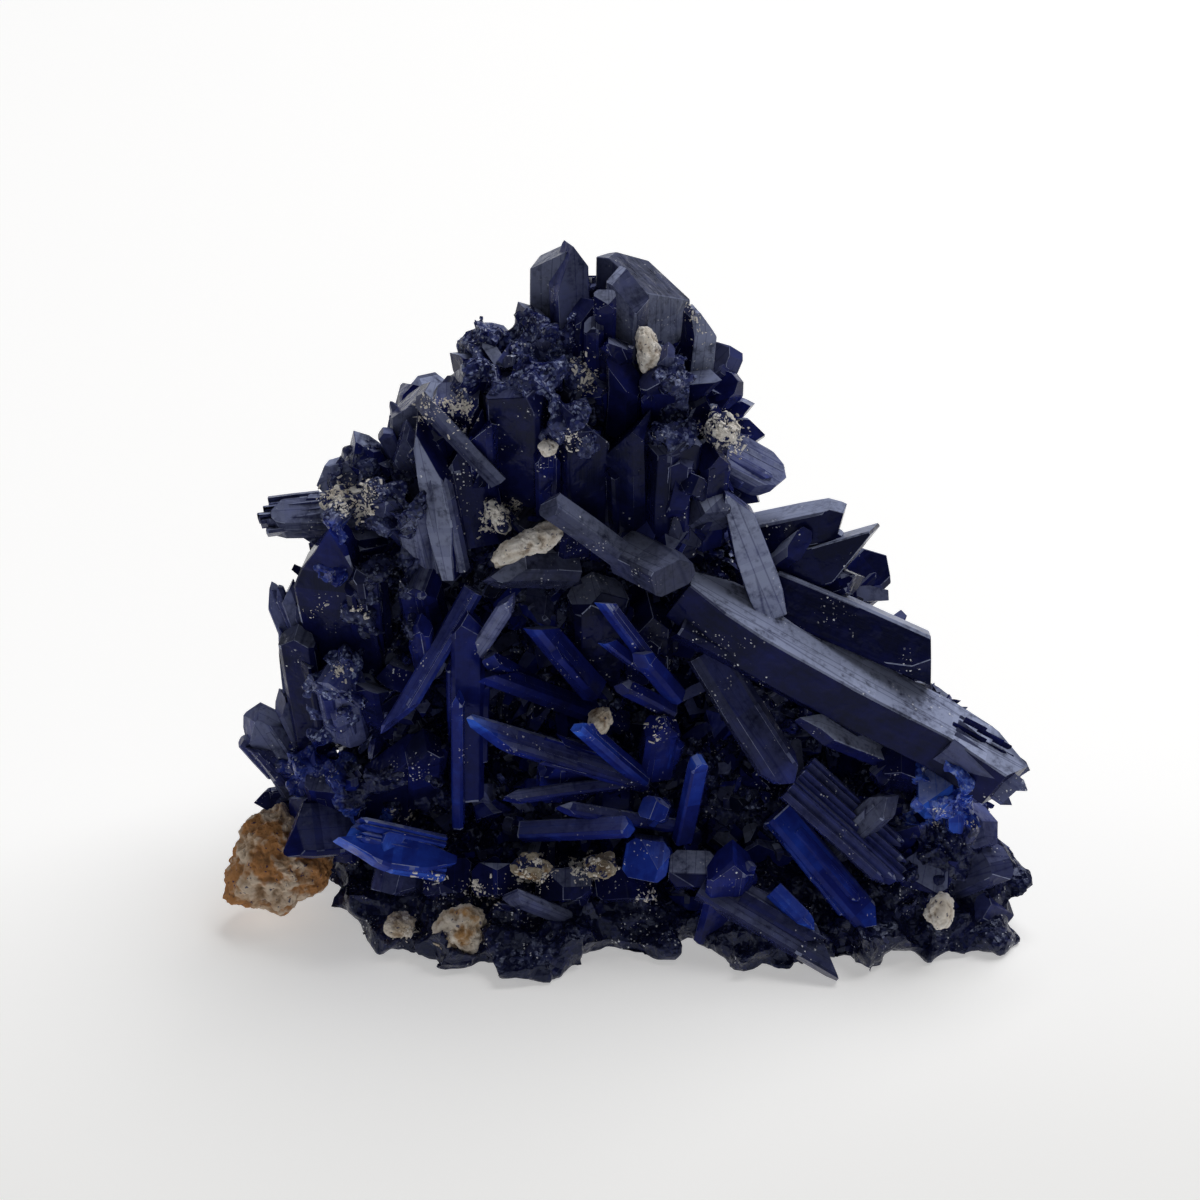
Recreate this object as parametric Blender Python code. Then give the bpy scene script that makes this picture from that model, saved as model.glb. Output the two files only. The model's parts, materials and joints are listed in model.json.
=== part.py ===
"""Azurite specimen: one grown-together mass of bladed crystals with lumps of its matrix, cut flat to stand.

Every crystal is placed on the display face: across to the right and up are read square to a line of sight
that looks down on the standing piece by LEAN, and back is the depth behind the front of the foot. All three
are counted in steps of STEP. The finished piece stands on Z = 0 with the middle of its box over the origin.
"""

import math
import random

import bmesh
import bpy
from mathutils import Matrix, Vector, noise

STEP = 0.00075  # metres in one layout step
LEAN = math.radians(30)  # how far the display face looks up from level
FIT_GAP = 0.00036  # clear space between a matrix lump and its pocket in the crystals
SMALL_LUMP = 5  # layout steps; a matrix lump longer than this has four times the facets
LEAST_EDGE = 0.03  # shortest edge that a cut may leave, in layout steps
SHOULDER = 0.74  # share of a crystal's width that is its broad flat face
BLOCK_SHOULDER = 0.9  # the same for a block that is nearly square
HEX_TURN = math.radians(30)  # turns a six-sided prism so that a flat side is its broad face
HEX_SIDE_AT = math.sin(math.radians(60))  # how far out that flat side stands on a prism of radius 1
CUT_SIDE = 140  # layout steps; the slab that cuts the foot flat is larger than the foot
CUT_DEEP = 40
CENTRE_ACROSS = 2.4  # layout steps from the layout's zero to the middle of the box, across
CENTRE_BACK = 21.29  # the same, in depth

UNEVEN = random.Random(5)  # no two crystals are quite true to each other

# How a crystal ends: each facet is (direction round the axis, slope from square, where it starts that way).
# Direction 0 is the crystal's right as it points away with its broad face up, 90 its broad face, 180 its left.
SQUARE = ()
ROOF = ((0, 50, 0), (180, 50, 0))
ROOF_LOW = ((0, 30, 0), (180, 30, 0))
ROOF_SHARP = ((0, 66, 0), (180, 66, 0))
RIGHT_CUT = ((0, 50, -1),)
RIGHT_STEEP = ((0, 68, -1),)
LEFT_CUT = ((180, 50, -1),)
LEFT_STEEP = ((180, 68, -1),)
POINT = ((0, 58, 0), (180, 58, 0), (90, 40, 0))
ROUND = ((0, 28, -0.2), (0, 62, 0.35), (180, 28, -0.2), (180, 62, 0.35))


def clear_scene():
    for thing in list(bpy.data.objects):
        bpy.data.objects.remove(thing, do_unlink=True)


def collection(name):
    made = bpy.data.collections.new(name)
    bpy.context.scene.collection.children.link(made)
    return made


def material(name, colour, roughness):
    made = bpy.data.materials.new(name)
    made.use_nodes = True
    surface = made.node_tree.nodes["Principled BSDF"]
    surface.inputs["Base Color"].default_value = (*colour, 1)
    surface.inputs["Roughness"].default_value = roughness
    surface.inputs["Metallic"].default_value = 0
    made.diffuse_color = (*colour, 1)
    return made


def spot(across, up, back):
    """World point of a place on the display face."""
    height = (up - back * math.sin(LEAN)) / math.cos(LEAN)
    return Vector((across - CENTRE_ACROSS, back - CENTRE_BACK, height)) * STEP


def toward(across, up, out):
    """World direction of one read on the display face; out points at whoever looks at it."""
    return Vector((
        across,
        up * math.sin(LEAN) - out * math.cos(LEAN),
        up * math.cos(LEAN) + out * math.sin(LEAN),
    )).normalized()


def new_object(name, mesh_data, home, paint=None):
    mesh = bpy.data.meshes.new(name)
    mesh_data.to_mesh(mesh)
    mesh_data.free()
    made = bpy.data.objects.new(name, mesh)
    home.objects.link(made)
    if paint:
        mesh.materials.append(paint)
    return made


def placed(shape, place):
    """Turns every face of a shape outwards, brings it from layout steps to metres and moves it to its place."""
    shape.normal_update()
    bmesh.ops.recalc_face_normals(shape, faces=shape.faces)
    if shape.calc_volume(signed=True) < 0:
        bmesh.ops.reverse_faces(shape, faces=shape.faces)
    shape.transform(Matrix.Scale(STEP, 4))
    shape.transform(Matrix.Translation(place))
    return shape


def cut_end(shape, point, normal):
    """Takes off what lies past a plane and closes the cut with one flat face."""
    everything = shape.verts[:] + shape.edges[:] + shape.faces[:]
    cut = bmesh.ops.bisect_plane(shape, geom=everything, plane_co=point, plane_no=normal, clear_outer=True)
    rim = [piece for piece in cut["geom_cut"] if isinstance(piece, bmesh.types.BMEdge)]
    if rim:
        bmesh.ops.edgeloop_fill(shape, edges=rim)
    bmesh.ops.remove_doubles(shape, verts=shape.verts, dist=LEAST_EDGE)


def prism(start, finish, width, thick, facing, end, shoulder=SHOULDER):
    """A flattened six-sided crystal between two world points, with cut end facets; width and thick in steps."""
    along = (finish - start).normalized()
    right = along.cross(facing).normalized()
    broad = right.cross(along)
    length = (finish - start).length / STEP
    roll = Matrix.Rotation(math.radians(UNEVEN.uniform(-2, 2)), 4, "Z")
    shift = Vector([UNEVEN.uniform(-0.06, 0.06) for _ in range(3)]) * STEP

    shape = bmesh.new()
    bmesh.ops.create_cone(shape, cap_ends=True, segments=6, radius1=1, radius2=1, depth=1)
    for vertex in shape.verts:
        x, y, z = Matrix.Rotation(HEX_TURN, 3, "Z") @ vertex.co
        x = math.copysign(1 if abs(x) > HEX_SIDE_AT else shoulder, x)
        vertex.co = (x * width / 2, y / HEX_SIDE_AT * thick / 2, (z + 0.5) * length)
    for direction, slope, start_at in end:
        angle, tilt = math.radians(direction), math.radians(slope)
        side = Vector((math.cos(angle), math.sin(angle), 0))
        reach = (abs(side.x) * width + abs(side.y) * thick) / 2
        cut_end(
            shape,
            side * reach * start_at + Vector((0, 0, length)),
            side * math.sin(tilt) + Vector((0, 0, math.cos(tilt))),
        )
    shape.transform(Matrix((right, broad, along)).transposed().to_4x4() @ roll)
    return placed(shape, start + shift)


def crystal(root, tip, width, thick, face=(0, 0, 1), end=ROOF, shoulder=SHOULDER):
    """One crystal from its root to its tip, in layout steps; face is the way its broad face looks."""
    return prism(spot(*root), spot(*tip), width, thick, toward(*face), end, shoulder)


def laths(root, tip, width, thick, count, ragged, seed, face=(0, 0, 1), end=RIGHT_CUT):
    """A blade that splits into narrow parallel crystals of unlike length; ragged is the most one is cut short."""
    chance = random.Random(seed)
    start, finish, facing = spot(*root), spot(*tip), toward(*face)
    along = (finish - start).normalized()
    right = along.cross(facing).normalized()
    pitch = width / count
    made = []
    for place in range(count):
        aside = right * pitch * (place - (count - 1) / 2) + right.cross(along) * chance.uniform(-0.25, 0.25)
        stop = finish + (aside - along * chance.uniform(0, ragged)) * STEP
        made.append(prism(start + aside * STEP, stop, pitch * 1.35, thick * chance.uniform(0.8, 1), facing, end))
    return made


def level(across, back, height):
    """Layout place of a point given by its level depth and its height over the foot."""
    return across, height * math.cos(LEAN) + back * math.sin(LEAN), back


def lump(centre, size, rough, seed, detail, chips=0, turn=0):
    """A rough chunk of the given width, depth and height, in layout steps, with some faces broken off flat."""
    shape = bmesh.new()
    bmesh.ops.create_icosphere(shape, subdivisions=detail, radius=0.5)
    for vertex in shape.verts:
        vertex.co *= 1 + rough * noise.noise(vertex.co * 4.3 + Vector((seed * 7.1, seed * 3.7, seed)))
    chance = random.Random(seed)
    for _ in range(chips):
        outward = Vector([chance.gauss(0, 1) for _ in range(3)]).normalized()
        cut_end(shape, outward * chance.uniform(0.38, 0.45), outward)
    shape.transform(Matrix.Diagonal((*size, 1)))
    shape.transform(Matrix.Rotation(math.radians(turn), 4, toward(0, 0, 1)))
    return placed(shape, spot(*centre))


# The dark rough mass that the crystals grow from, as (across, depth, height) of the middle, size and seed.
BODY = (
    ((4, 25, 9), (72, 30, 26), 3),
    ((-20, 25, 25), (21, 22, 34), 5),
    ((-1, 26, 36), (34, 20, 44), 7),
    ((0.5, 26, 56), (19, 15, 25), 12),
    ((18, 26, 23), (27, 20, 27), 13),
    ((-15, 25, 42), (22, 13, 18), 17),
    ((-13, 19, 4), (24, 20, 17), 19),
    ((7, 19, 4), (30, 19, 17), 23),
    ((28, 19, 7), (26, 21, 22), 29),
    ((1, 22, 60), (13, 9, 14), 31),
    ((30, 23, 16), (20, 18, 16), 37),
)


def body():
    return [lump(level(*middle), size, 0.35, seed, 2, chips=14) for middle, size, seed in BODY]


def top_blocks():
    """Two thick blocks that crown the piece, and the small ones in front of them."""
    return [
        crystal((-4.1, 60, 24), (-4.2, 75.6, 24), 4.2, 4.2, (-1, 0, 1), ((135, 36, -0.35), (315, 60, 0.35))),
        crystal((-2.6, 60, 21), (-2, 71.6, 21), 2.6, 2.6, (0.5, 0, 1), LEFT_CUT),
        crystal(
            (4.4, 56, 25), (4.4, 74.6, 25), 6.8, 6.6, (1, 0, 1), ((45, 34, -0.85), (300, 14, -0.4)),
            BLOCK_SHOULDER,
        ),
        crystal((0.3, 61, 22), (0.5, 69.4, 16.8), 2.2, 2, end=SQUARE),
        crystal((1.5, 61, 21), (1.4, 66, 16), 3, 3, (0.2, 0.3, 1), RIGHT_CUT),
        crystal((-0.6, 62, 20), (-0.6, 67, 16.8), 2, 2, end=ROOF_LOW),
        crystal((6.2, 60, 20), (6.2, 65, 16.5), 2.2, 2, end=LEFT_CUT),
        crystal((6, 57, 19), (5.6, 62, 15.5), 4, 2.4, end=ROOF_LOW),
        crystal((2.2, 57, 19), (2.4, 63.5, 15.5), 3.4, 3, (-0.3, 0, 1), RIGHT_CUT),
    ]


def top_right_edge():
    """Stubby crystals and rounded blades stepping down the right of the peak."""
    return [
        crystal((7, 61, 24), (10.2, 67, 23), 3, 2.6),
        crystal((8, 60, 24), (13.6, 65.2, 23), 3.8, 2, (-0.3, 0.5, 1), ROUND),
        crystal((8, 60, 23), (14.4, 61.6, 21), 4, 2.4, (0, 0.2, 1), ROUND),
        crystal((10, 58.5, 23), (15.2, 59.4, 22), 2, 1.8),
        crystal((10, 57, 23), (16.5, 56.4, 22.5), 3.2, 2),
        crystal((10, 56, 20), (18.3, 51.6, 20), 4.8, 2.2, (0.2, 0.5, 1), ROUND),
        crystal((11, 53, 22), (16, 49.8, 20), 3, 2),
        crystal((5, 57, 22), (11, 63, 18.4), 3.4, 2.6, (0.4, 0.2, 1), LEFT_CUT),
        crystal((6, 51, 20), (12, 55.4, 16.8), 3.4, 2.8, (0.3, 0.2, 1)),
    ]


def top_left_edge():
    """Blocky crystals stepping down the left of the peak, over the rough granular face."""
    return [
        crystal((-4, 63, 24), (-7.6, 68.9, 22.5), 3, 2.6),
        crystal((-6, 61, 23), (-11.8, 66.8, 21.5), 3.6, 2.8),
        crystal((-7, 59, 22), (-14.2, 64.2, 20.5), 3.6, 2.8),
        crystal((-8, 57, 21), (-14.9, 61.4, 19.5), 3.8, 2.8, (-0.3, 0, 1), SQUARE),
        crystal((-5, 63, 21), (-5.8, 67.2, 16.6), 3.2, 2.8, (-0.3, 0.3, 1), LEFT_CUT),
        crystal((-3, 60, 20), (-2.4, 64, 15.4), 3.2, 2.6, (0.3, 0.3, 1), RIGHT_CUT),
        crystal((-8, 61, 20), (-9.4, 64.4, 16.2), 3.2, 2.6, (-0.4, 0.3, 1)),
    ]


def upper_face():
    """Big dark upright blocks below the peak."""
    return [
        crystal((-8, 51, 19), (-8, 61.8, 14.8), 5.8, 4.4, (-0.15, 0, 1), ((180, 20, -1),)),
        crystal((-2.2, 47, 17), (-2.2, 60.2, 14.2), 4.8, 5, (0.2, 0, 1), RIGHT_CUT),
        crystal((2.6, 47, 17), (2.8, 60.6, 14.6), 5, 4, (-0.2, 0, 1), LEFT_CUT),
        crystal((7, 45, 16), (7.4, 57.8, 14.6), 5.2, 4.6, (0.2, 0, 1), ROOF_LOW),
        crystal((-11.5, 49, 18), (-11.8, 58.4, 14.8), 3.6, 3, (-0.3, 0, 1), LEFT_CUT),
        crystal((10.5, 46, 17), (11.2, 55, 14.5), 3.4, 3, (0.4, 0, 1)),
        crystal((-5.2, 49, 16), (-5.2, 56, 13), 2.6, 2.4, (0.1, 0, 1), ROOF_SHARP),
    ]


def left_shoulder():
    """The long pale blade, its partner that meets it at the top, and the blocks and blades left of them."""
    return [
        crystal((-17.5, 53, 24), (-17.9, 61.3, 23), 5.6, 4, (-0.2, 0, 1), ((180, 40, -0.3), (0, 25, 0.3))),
        crystal((-15.1, 42, 13), (-17.9, 59.8, 15.5), 3.2, 2.6, (-0.45, 0, 1), RIGHT_STEEP),
        crystal((-10, 51, 14), (-17.6, 59.7, 15.6), 1.8, 2.6, (0.4, 0.5, 1), LEFT_CUT),
        crystal((-12, 46, 17), (-14.4, 58.6, 16.4), 6, 3, end=LEFT_CUT),
        crystal((-13.6, 53, 20), (-14.2, 60.2, 17.4), 5, 4, end=SQUARE),
        crystal((-20, 54, 24), (-28.4, 51.4, 23.4), 4.6, 3.6, (0, 0.3, 1), ((0, 40, 0), (180, 25, 0))),
        crystal((-20, 50, 23), (-24.4, 56, 21), 3.6, 3, (-0.3, 0, 1)),
        crystal((-17, 50, 21), (-20.8, 57.6, 20), 3.6, 3.2, (-0.3, 0, 1), LEFT_CUT),
        crystal((-17.4, 43, 17), (-18.6, 50, 13.6), 3.4, 3, (-0.3, 0.2, 1), LEFT_CUT),
        crystal((-19, 47, 19), (-22.6, 50.6, 15.6), 3.6, 3, (-0.4, 0.4, 1)),
        *laths((-19, 49.4, 22), (-34.8, 47.7, 21), 3.8, 2.2, 4, 1.6, 21, (0, 0.7, 1)),
        crystal((-22, 46.5, 21), (-27.4, 45.8, 18.4), 3, 2.4, (0, 0.5, 1), LEFT_CUT),
    ]


def left_side():
    """The big blue blade at the left, the fan of laths beside it and the dark slabs under them."""
    return [
        crystal((-26, 34, 20), (-26.4, 47.8, 15.6), 6.6, 3.2, (-0.25, 0, 1), ((180, 48, -0.2), (0, 40, 0.2))),
        crystal((-23, 35, 19), (-23.6, 44.6, 14.8), 4.2, 3.4, (0.4, 0.2, 1), RIGHT_CUT),
        crystal((-29.6, 31, 21), (-33.9, 42.6, 20), 1.6, 1.4, (-0.2, 0, 1), LEFT_STEEP),
        crystal((-28.4, 31, 20), (-31.8, 41.8, 19), 2, 1.4, (-0.2, 0, 1), LEFT_CUT),
        crystal((-29.6, 30, 20), (-33.4, 39.2, 20.5), 1.8, 1.4, (-0.2, 0, 1), LEFT_STEEP),
        crystal((-29.6, 27, 20), (-33.6, 34.4, 20.5), 2, 1.4, (-0.2, 0, 1), LEFT_STEEP),
        crystal((-29, 24, 19), (-30.6, 36.8, 16.6), 4, 2.6, (-0.3, 0, 1), ROOF_LOW),
        crystal((-17, 36, 18), (-18.2, 42.4, 13.6), 4, 3.6, (-0.2, 0.3, 1), ROUND),
        crystal((-25.6, 27, 18), (-26.4, 33.4, 12.8), 5, 4.4, (-0.2, 0.4, 1), ROUND),
        crystal((-22, 27, 18), (-22.8, 32.4, 13), 3.6, 3, (0.3, 0.3, 1), RIGHT_CUT),
        crystal((-31, 21, 21), (-35.6, 28.6, 20), 4.4, 3, (-0.3, 0.2, 1), ((180, 10, -1), (0, 60, 0.2))),
        crystal((-29, 22, 21), (-32.4, 30.4, 19.4), 3, 2.4, (0.3, 0, 1)),
        crystal((-27, 20.4, 21), (-35.8, 18.9, 20.6), 2.8, 2, (0, 0.3, 1)),
        crystal((-28, 17, 18), (-30.8, 24.4, 15.6), 3.6, 3, (-0.3, 0.2, 1), LEFT_CUT),
        crystal((-24, 18, 17), (-26.2, 23.4, 12.8), 4, 3.4, (-0.2, 0.4, 1), RIGHT_CUT),
        crystal((-23, 15, 16), (-21.6, 25.8, 11.8), 6.6, 3.4, (0.1, 0.1, 1), LEFT_CUT),
        crystal((-27, 14, 17), (-27.8, 21.6, 13.4), 4.6, 3, (-0.2, 0.1, 1), SQUARE),
        crystal((-24, 15.4, 17), (-32.8, 15.8, 14.2), 4.8, 2, (-0.1, 0.2, 1), SQUARE),
        crystal((-18, 20, 15), (-17.6, 26, 11), 4, 3, (0.2, 0.1, 1)),
    ]


def middle():
    """The dark crystal under the wedge, the grey prism across the middle and the blunt one beside it."""
    return [
        crystal((-1, 40, 16), (-11.2, 42, 10.6), 5, 5, (0, 0.5, 1), ((0, 58, -0.5), (180, 40, 0.5))),
        crystal((3.6, 43.4, 12.6), (-5.2, 49.6, 10.4), 3.2, 3, (0.4, 0.6, 1), ROOF_LOW),
        crystal((1, 45.4, 13.6), (8, 41.8, 8.6), 5.2, 4.8, (0.2, 0.7, 1), ((0, 18, -1),)),
        crystal((-0.4, 33, 16), (-0.2, 43.4, 12), 8, 4, end=ROOF_LOW),
        crystal((4.8, 33, 16), (5, 41, 12.4), 5, 4, (0.3, 0, 1)),
        crystal((-3, 45, 16), (-2.4, 48.6, 12.6), 4, 3, (0.2, 0.3, 1)),
    ]


def diagonal_laths():
    """Long thin laths that cross in front of the left of the hollow."""
    return [
        crystal((-12.6, 41, 13.4), (-21.5, 26, 8.4), 2, 1.6, (-0.2, 0.3, 1), LEFT_STEEP),
        crystal((-13, 34, 12.6), (-8.6, 40.4, 9.6), 1.8, 1.4, (0.2, 0.2, 1), ROOF_SHARP),
        crystal((-13.6, 20, 13.4), (-13.2, 39, 12), 3.6, 2.4, (0.2, 0, 1)),
        crystal((-14.4, 17, 11.4), (-14.2, 30.8, 9.4), 1.2, 1.4, (-0.2, 0, 1), ROOF_SHARP),
        crystal((-17.4, 33, 14), (-18, 38, 11), 2.4, 2, (-0.3, 0, 1)),
    ]


def hollow_blades():
    """Short blue blades that stand and lie across the front hollow."""
    return [
        crystal((7.4, 30.6, 12.6), (0.1, 40.3, 9.4), 1.8, 1.5, (0.4, 0.3, 1), RIGHT_CUT),
        crystal((4.6, 33, 12.8), (0.2, 36.4, 9.8), 1.7, 1.4, (0.4, 0.3, 1), RIGHT_CUT),
        crystal((7.6, 30.4, 13), (4, 34.6, 9.2), 2.6, 2.2, (0.4, 0.3, 1)),
        crystal((7.2, 28.8, 12.6), (1.9, 31.6, 9.4), 1.8, 1.6, (0.3, 0.4, 1)),
        crystal((-0.6, 31, 14.4), (-6.6, 38.2, 11.2), 3.4, 2.4, (0.3, 0.4, 1), RIGHT_CUT),
        crystal((2.4, 27.4, 20), (-11.9, 33, 9.8), 2.4, 1.8, (0.1, 0.5, 1), RIGHT_STEEP),
        crystal((-6, 31, 17), (-11.2, 34.2, 10.4), 1.8, 1.5, (0.1, 0.5, 1)),
        crystal((4.6, 21.8, 12.6), (-13.5, 27.4, 8.2), 3.2, 1.9, (0.1, 0.6, 1), ((180, 66, -0.6), (0, 40, 0.6))),
        crystal((4.4, 21.8, 12), (-2.4, 27.9, 8.2), 2, 1.7, (0.4, 0.5, 1), ((0, 60, -0.3), (180, 30, 0.3))),
        crystal((3.6, 21.6, 12), (-9.7, 20, 8.2), 1.5, 1.5, (0, 0.6, 1), ROOF_SHARP),
        crystal((-8, 16.4, 11.8), (3.2, 17.2, 6.8), 2, 1.6, (0, 0.6, 1), ROOF_LOW),
        crystal((7.6, 17, 11.6), (-4.2, 19.2, 8), 1.4, 1.4, (0, 0.5, 1), ROOF_SHARP),
        crystal((4.6, 14, 12), (4.8, 13.6, 5.6), 4.6, 4.2, (0.2, 1, 0), ((90, 20, -1), (0, 25, -1))),
        crystal((6.2, 18, 15), (5.4, 19, 8), 3, 2.4, (0.3, 1, 0), ROOF_LOW),
        crystal((8.4, 15.6, 11), (10, 24.2, 7.6), 2, 1.5, (0.4, 0, 1), ROUND),
        crystal((5.6, 22.6, 13.4), (6.4, 28.4, 10.4), 3.6, 2.6, (0.2, 0.2, 1)),
        crystal((-3.6, 20.6, 14), (-3.2, 25, 11), 5, 3, (0.1, 0.2, 1), ROOF_LOW),
    ]


def right_fan():
    """The great blade, the pale one that crosses its root, and the dark prisms fanning out behind it."""
    return [
        crystal((17.4, 38.6, 14.4), (12, 51.9, 15.2), 3.2, 2.6, (-0.1, 0.2, 1), ((0, 62, -0.4), (180, 30, 0.4))),
        crystal((8, 40.8, 13.8), (43.2, 21, 10.6), 6.2, 5, (0.15, 0.7, 0.7), ((0, 30, -0.2), (180, 62, 0.3))),
        *laths((34, 27.4, 11.7), (43.3, 20.9, 10.4), 4.4, 4, 5, 3, 4, (0.15, 0.7, 0.7), ROOF_LOW),
        crystal((8, 38, 13.4), (29, 27, 12.2), 4, 3.4, (0.2, 0.4, 1)),
        crystal((13.6, 46.4, 20), (24.6, 48.6, 18), 3.8, 3, (0, 0.8, 1), ((180, 48, -0.4), (0, 30, 0.4))),
        crystal((16.6, 45.6, 19), (24.3, 46.8, 17.4), 1.8, 1.6, (0, 0.6, 1)),
        crystal((16.6, 42.6, 19), (27.9, 45.4, 16.2), 4.8, 3.8, (0, 0.7, 1), RIGHT_CUT),
        crystal((18, 39.4, 18), (26, 42.8, 16), 2.8, 2.4, (0, 0.5, 1)),
        crystal((16, 41.4, 17.4), (33.4, 34, 14), 5.2, 4.4, (0.1, 0.8, 1), ((0, 15, 0),)),
        crystal((28, 23.6, 14), (19.9, 27.9, 10.4), 3.2, 1.8, (0.1, 1, 0.5)),
        crystal((24, 27, 17), (34.6, 30.4, 15), 4, 3, (0.1, 0.5, 1), RIGHT_CUT),
    ]


def lower_right():
    """Blades and bundles that run down to the right foot."""
    return [
        crystal((10.6, 35, 13.6), (19.2, 21.4, 8.4), 4.6, 3, (0.3, 0.3, 1), ROUND),
        crystal((18, 18.4, 11), (27.8, 6.8, 6.2), 3.4, 2.6, (0.3, 0.3, 1), ((0, 30, 0), (180, 50, 0))),
        *laths((20, 22, 12.4), (31.6, 11.6, 8), 5.2, 2.6, 4, 2, 8, (0.3, 0.3, 1)),
        crystal((24, 14.6, 11.6), (29.6, 20.2, 9.2), 3.2, 2, (-0.2, 0.4, 1)),
        crystal((10.6, 12.4, 9.6), (24.6, 3.4, 5), 2.9, 2.4, (0.2, 0.4, 1), LEFT_CUT),
        crystal((12, 6, 10), (13.4, 14.6, 6.2), 5, 3.4, (0.2, 0, 1)),
        crystal((29.4, 8, 10), (27.6, 4.6, 5), 3.2, 3, (0.1, 0.6, 1), ROOF_LOW),
        crystal((34, 20, 13), (33.8, 21.2, 8.2), 3.6, 4.6, (0, 1, 0), ((90, 25, -1), (180, 20, -1))),
        crystal((37, 21, 14), (37, 21.8, 9.4), 2.8, 3.6, (0.2, 1, 0), ((0, 25, -1),)),
        crystal((36.4, 18, 13), (36.4, 18.1, 8.8), 2.4, 3.4, (0, 1, 0), ((270, 25, -1),)),
        crystal((34, 10, 15), (40.8, 13.4, 10.6), 4.4, 3.6, (0.3, 0.3, 1), ((180, 20, 0),)),
        crystal((33, 15, 16), (39.8, 17.4, 12.6), 5, 3, (0.3, 0.3, 1), ((180, 30, 0),)),
        crystal((35, 8, 15), (42, 8.2, 10.4), 6, 4.4, (0.3, 0.2, 1), ROUND),
        crystal((33, 12, 14), (33.4, 12.2, 8), 5.4, 4, (0.2, 1, 0), ((90, 25, -1),)),
        crystal((27, 14, 14), (31.6, 15.6, 9.4), 4, 3.4, (0.2, 0.4, 1), RIGHT_CUT),
        crystal((30, 22, 15), (30.4, 24, 10.6), 5, 3, (0.1, 0.6, 1), ROOF_LOW),
    ]


FOOT_GATHER = 0.94  # the roots of the foot's blocks stand this much closer together than their ends
FOOT_ROOT_DEPTH = 18
FOOT_ROOT_HEIGHT = 3
FOOT_BLOCK_THICK = 7.6

# The blocks round the front of the foot, as (across, depth of the front end, width).
FOOT_BLOCKS = (
    (-24.4, 9.6, 5.4), (-19.6, 6.2, 6.2), (-14.6, 4, 6), (-9, 0.8, 4.8), (-4.4, 2.6, 6.2), (0.8, 5.4, 6.6),
    (5.4, 6.6, 5.2), (9.6, 9, 5), (14.2, 5, 6.2), (18.6, 3.4, 6), (23.8, 2.4, 6.8), (29.2, 2.6, 6.4),
    (34.4, 3.8, 6.6), (39.6, 5.4, 6.8),
)


def foot():
    """Dark blocks round the front of the foot, smaller ones on them, and the bright broken bundle at their left."""
    chance = random.Random(41)
    made = laths((-15, 13.2, 10.6), (-25.8, 15, 7.4), 5, 3.4, 4, 2.6, 31, (-0.1, 0.4, 1))
    for across, front, width in FOOT_BLOCKS:
        height = chance.uniform(2.4, 3.6)
        end = ((90, chance.uniform(15, 35), -0.2), (chance.choice((0, 180)), chance.uniform(15, 35), -0.3))
        root = level(across * FOOT_GATHER, FOOT_ROOT_DEPTH, FOOT_ROOT_HEIGHT)
        made.append(crystal(root, level(across, front, height), width, FOOT_BLOCK_THICK, (0, 1, 0), end))
    return made + [
        crystal((-19, 12, 15), (-22, 12.4, 9), 5, 4.4, (-0.3, 0.6, 1), ROUND),
        crystal((-14.8, 11, 14), (-16, 12, 8.4), 5, 3.6, (-0.2, 0.6, 1), ROOF_LOW),
        crystal((-2.4, 7, 8.6), (-9.2, 10.2, 5), 1.8, 2.2, (0, 0.6, 1), ROUND),
        crystal((-10, 11, 14), (-10.4, 11.8, 6.6), 5.4, 3.4, (0, 1, 0.2), ROOF_LOW),
        crystal((-3.4, 11, 14), (-3.8, 11.2, 6.8), 6, 3.4, (0, 1, 0.2), ((90, 20, -0.2), (0, 20, 0))),
        crystal((2.4, 10, 14), (2.6, 11.4, 7.4), 6.4, 3.6, (0, 1, 0.2), ROOF_LOW),
        crystal((9.4, 12, 14), (9.4, 12.8, 8), 5, 4, (0, 1, 0.2), ((90, 25, -0.3),)),
    ]


def is_by_back_matrix(place):
    """True over and just round the matrix that shows at the back, where no crystal grows."""
    away = place - Vector(BACK_MATRIX_MIDDLE)
    return sum((2 * offset / (side + 6)) ** 2 for offset, side in zip(away, BACK_MATRIX_SIZE)) < 1


def growth_round(middle, size, count, seed, arc, heights):
    """Crystals scattered over one part of the body's back or side; arc is in degrees, 90 at the very back."""
    chance = random.Random(seed)
    made = []
    for place in range(count):
        turn = math.radians(arc[0] + (arc[1] - arc[0]) * (place + chance.uniform(0.2, 0.8)) / count)
        rise = chance.uniform(*heights)
        flat = math.sqrt(1 - rise * rise)
        outward = Vector((math.cos(turn) * flat, math.sin(turn) * flat, rise))
        root = Vector(middle) + outward * Vector(size) * 0.25
        tip = Vector(middle) + outward * Vector(size) * 0.5 + outward * chance.uniform(1, 3)
        tip += Vector((chance.uniform(-4, 4), chance.uniform(-1, 1), chance.uniform(0, 5)))
        width = chance.uniform(4.5, 8.5)
        if is_by_back_matrix(tip):
            continue
        end = chance.choice((ROOF, ROOF_LOW, LEFT_CUT, RIGHT_CUT, ROUND, POINT))
        face = (chance.uniform(-0.6, 0.6), chance.uniform(0.2, 1), -1)
        made.append(crystal(level(*root), level(*tip), width, width * chance.uniform(0.45, 0.7), face, end))
    return made


# Growth on the hidden side: the part of the body, how many crystals, the arc they cover in degrees, with 90
# at the very back, and how low and how high they stand on it as a share of its half height.
HIDDEN_ROUNDS = (
    (BODY[0], 8, (6, 174), (0, 0.8)),
    (BODY[1], 3, (60, 170), (-0.2, 0.7)),
    (BODY[2], 4, (30, 150), (0.2, 0.9)),
    (BODY[3], 3, (40, 140), (-0.2, 0.8)),
    (BODY[4], 3, (40, 120), (-0.1, 0.8)),
    (BODY[5], 2, (80, 150), (0, 0.9)),
)


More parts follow.
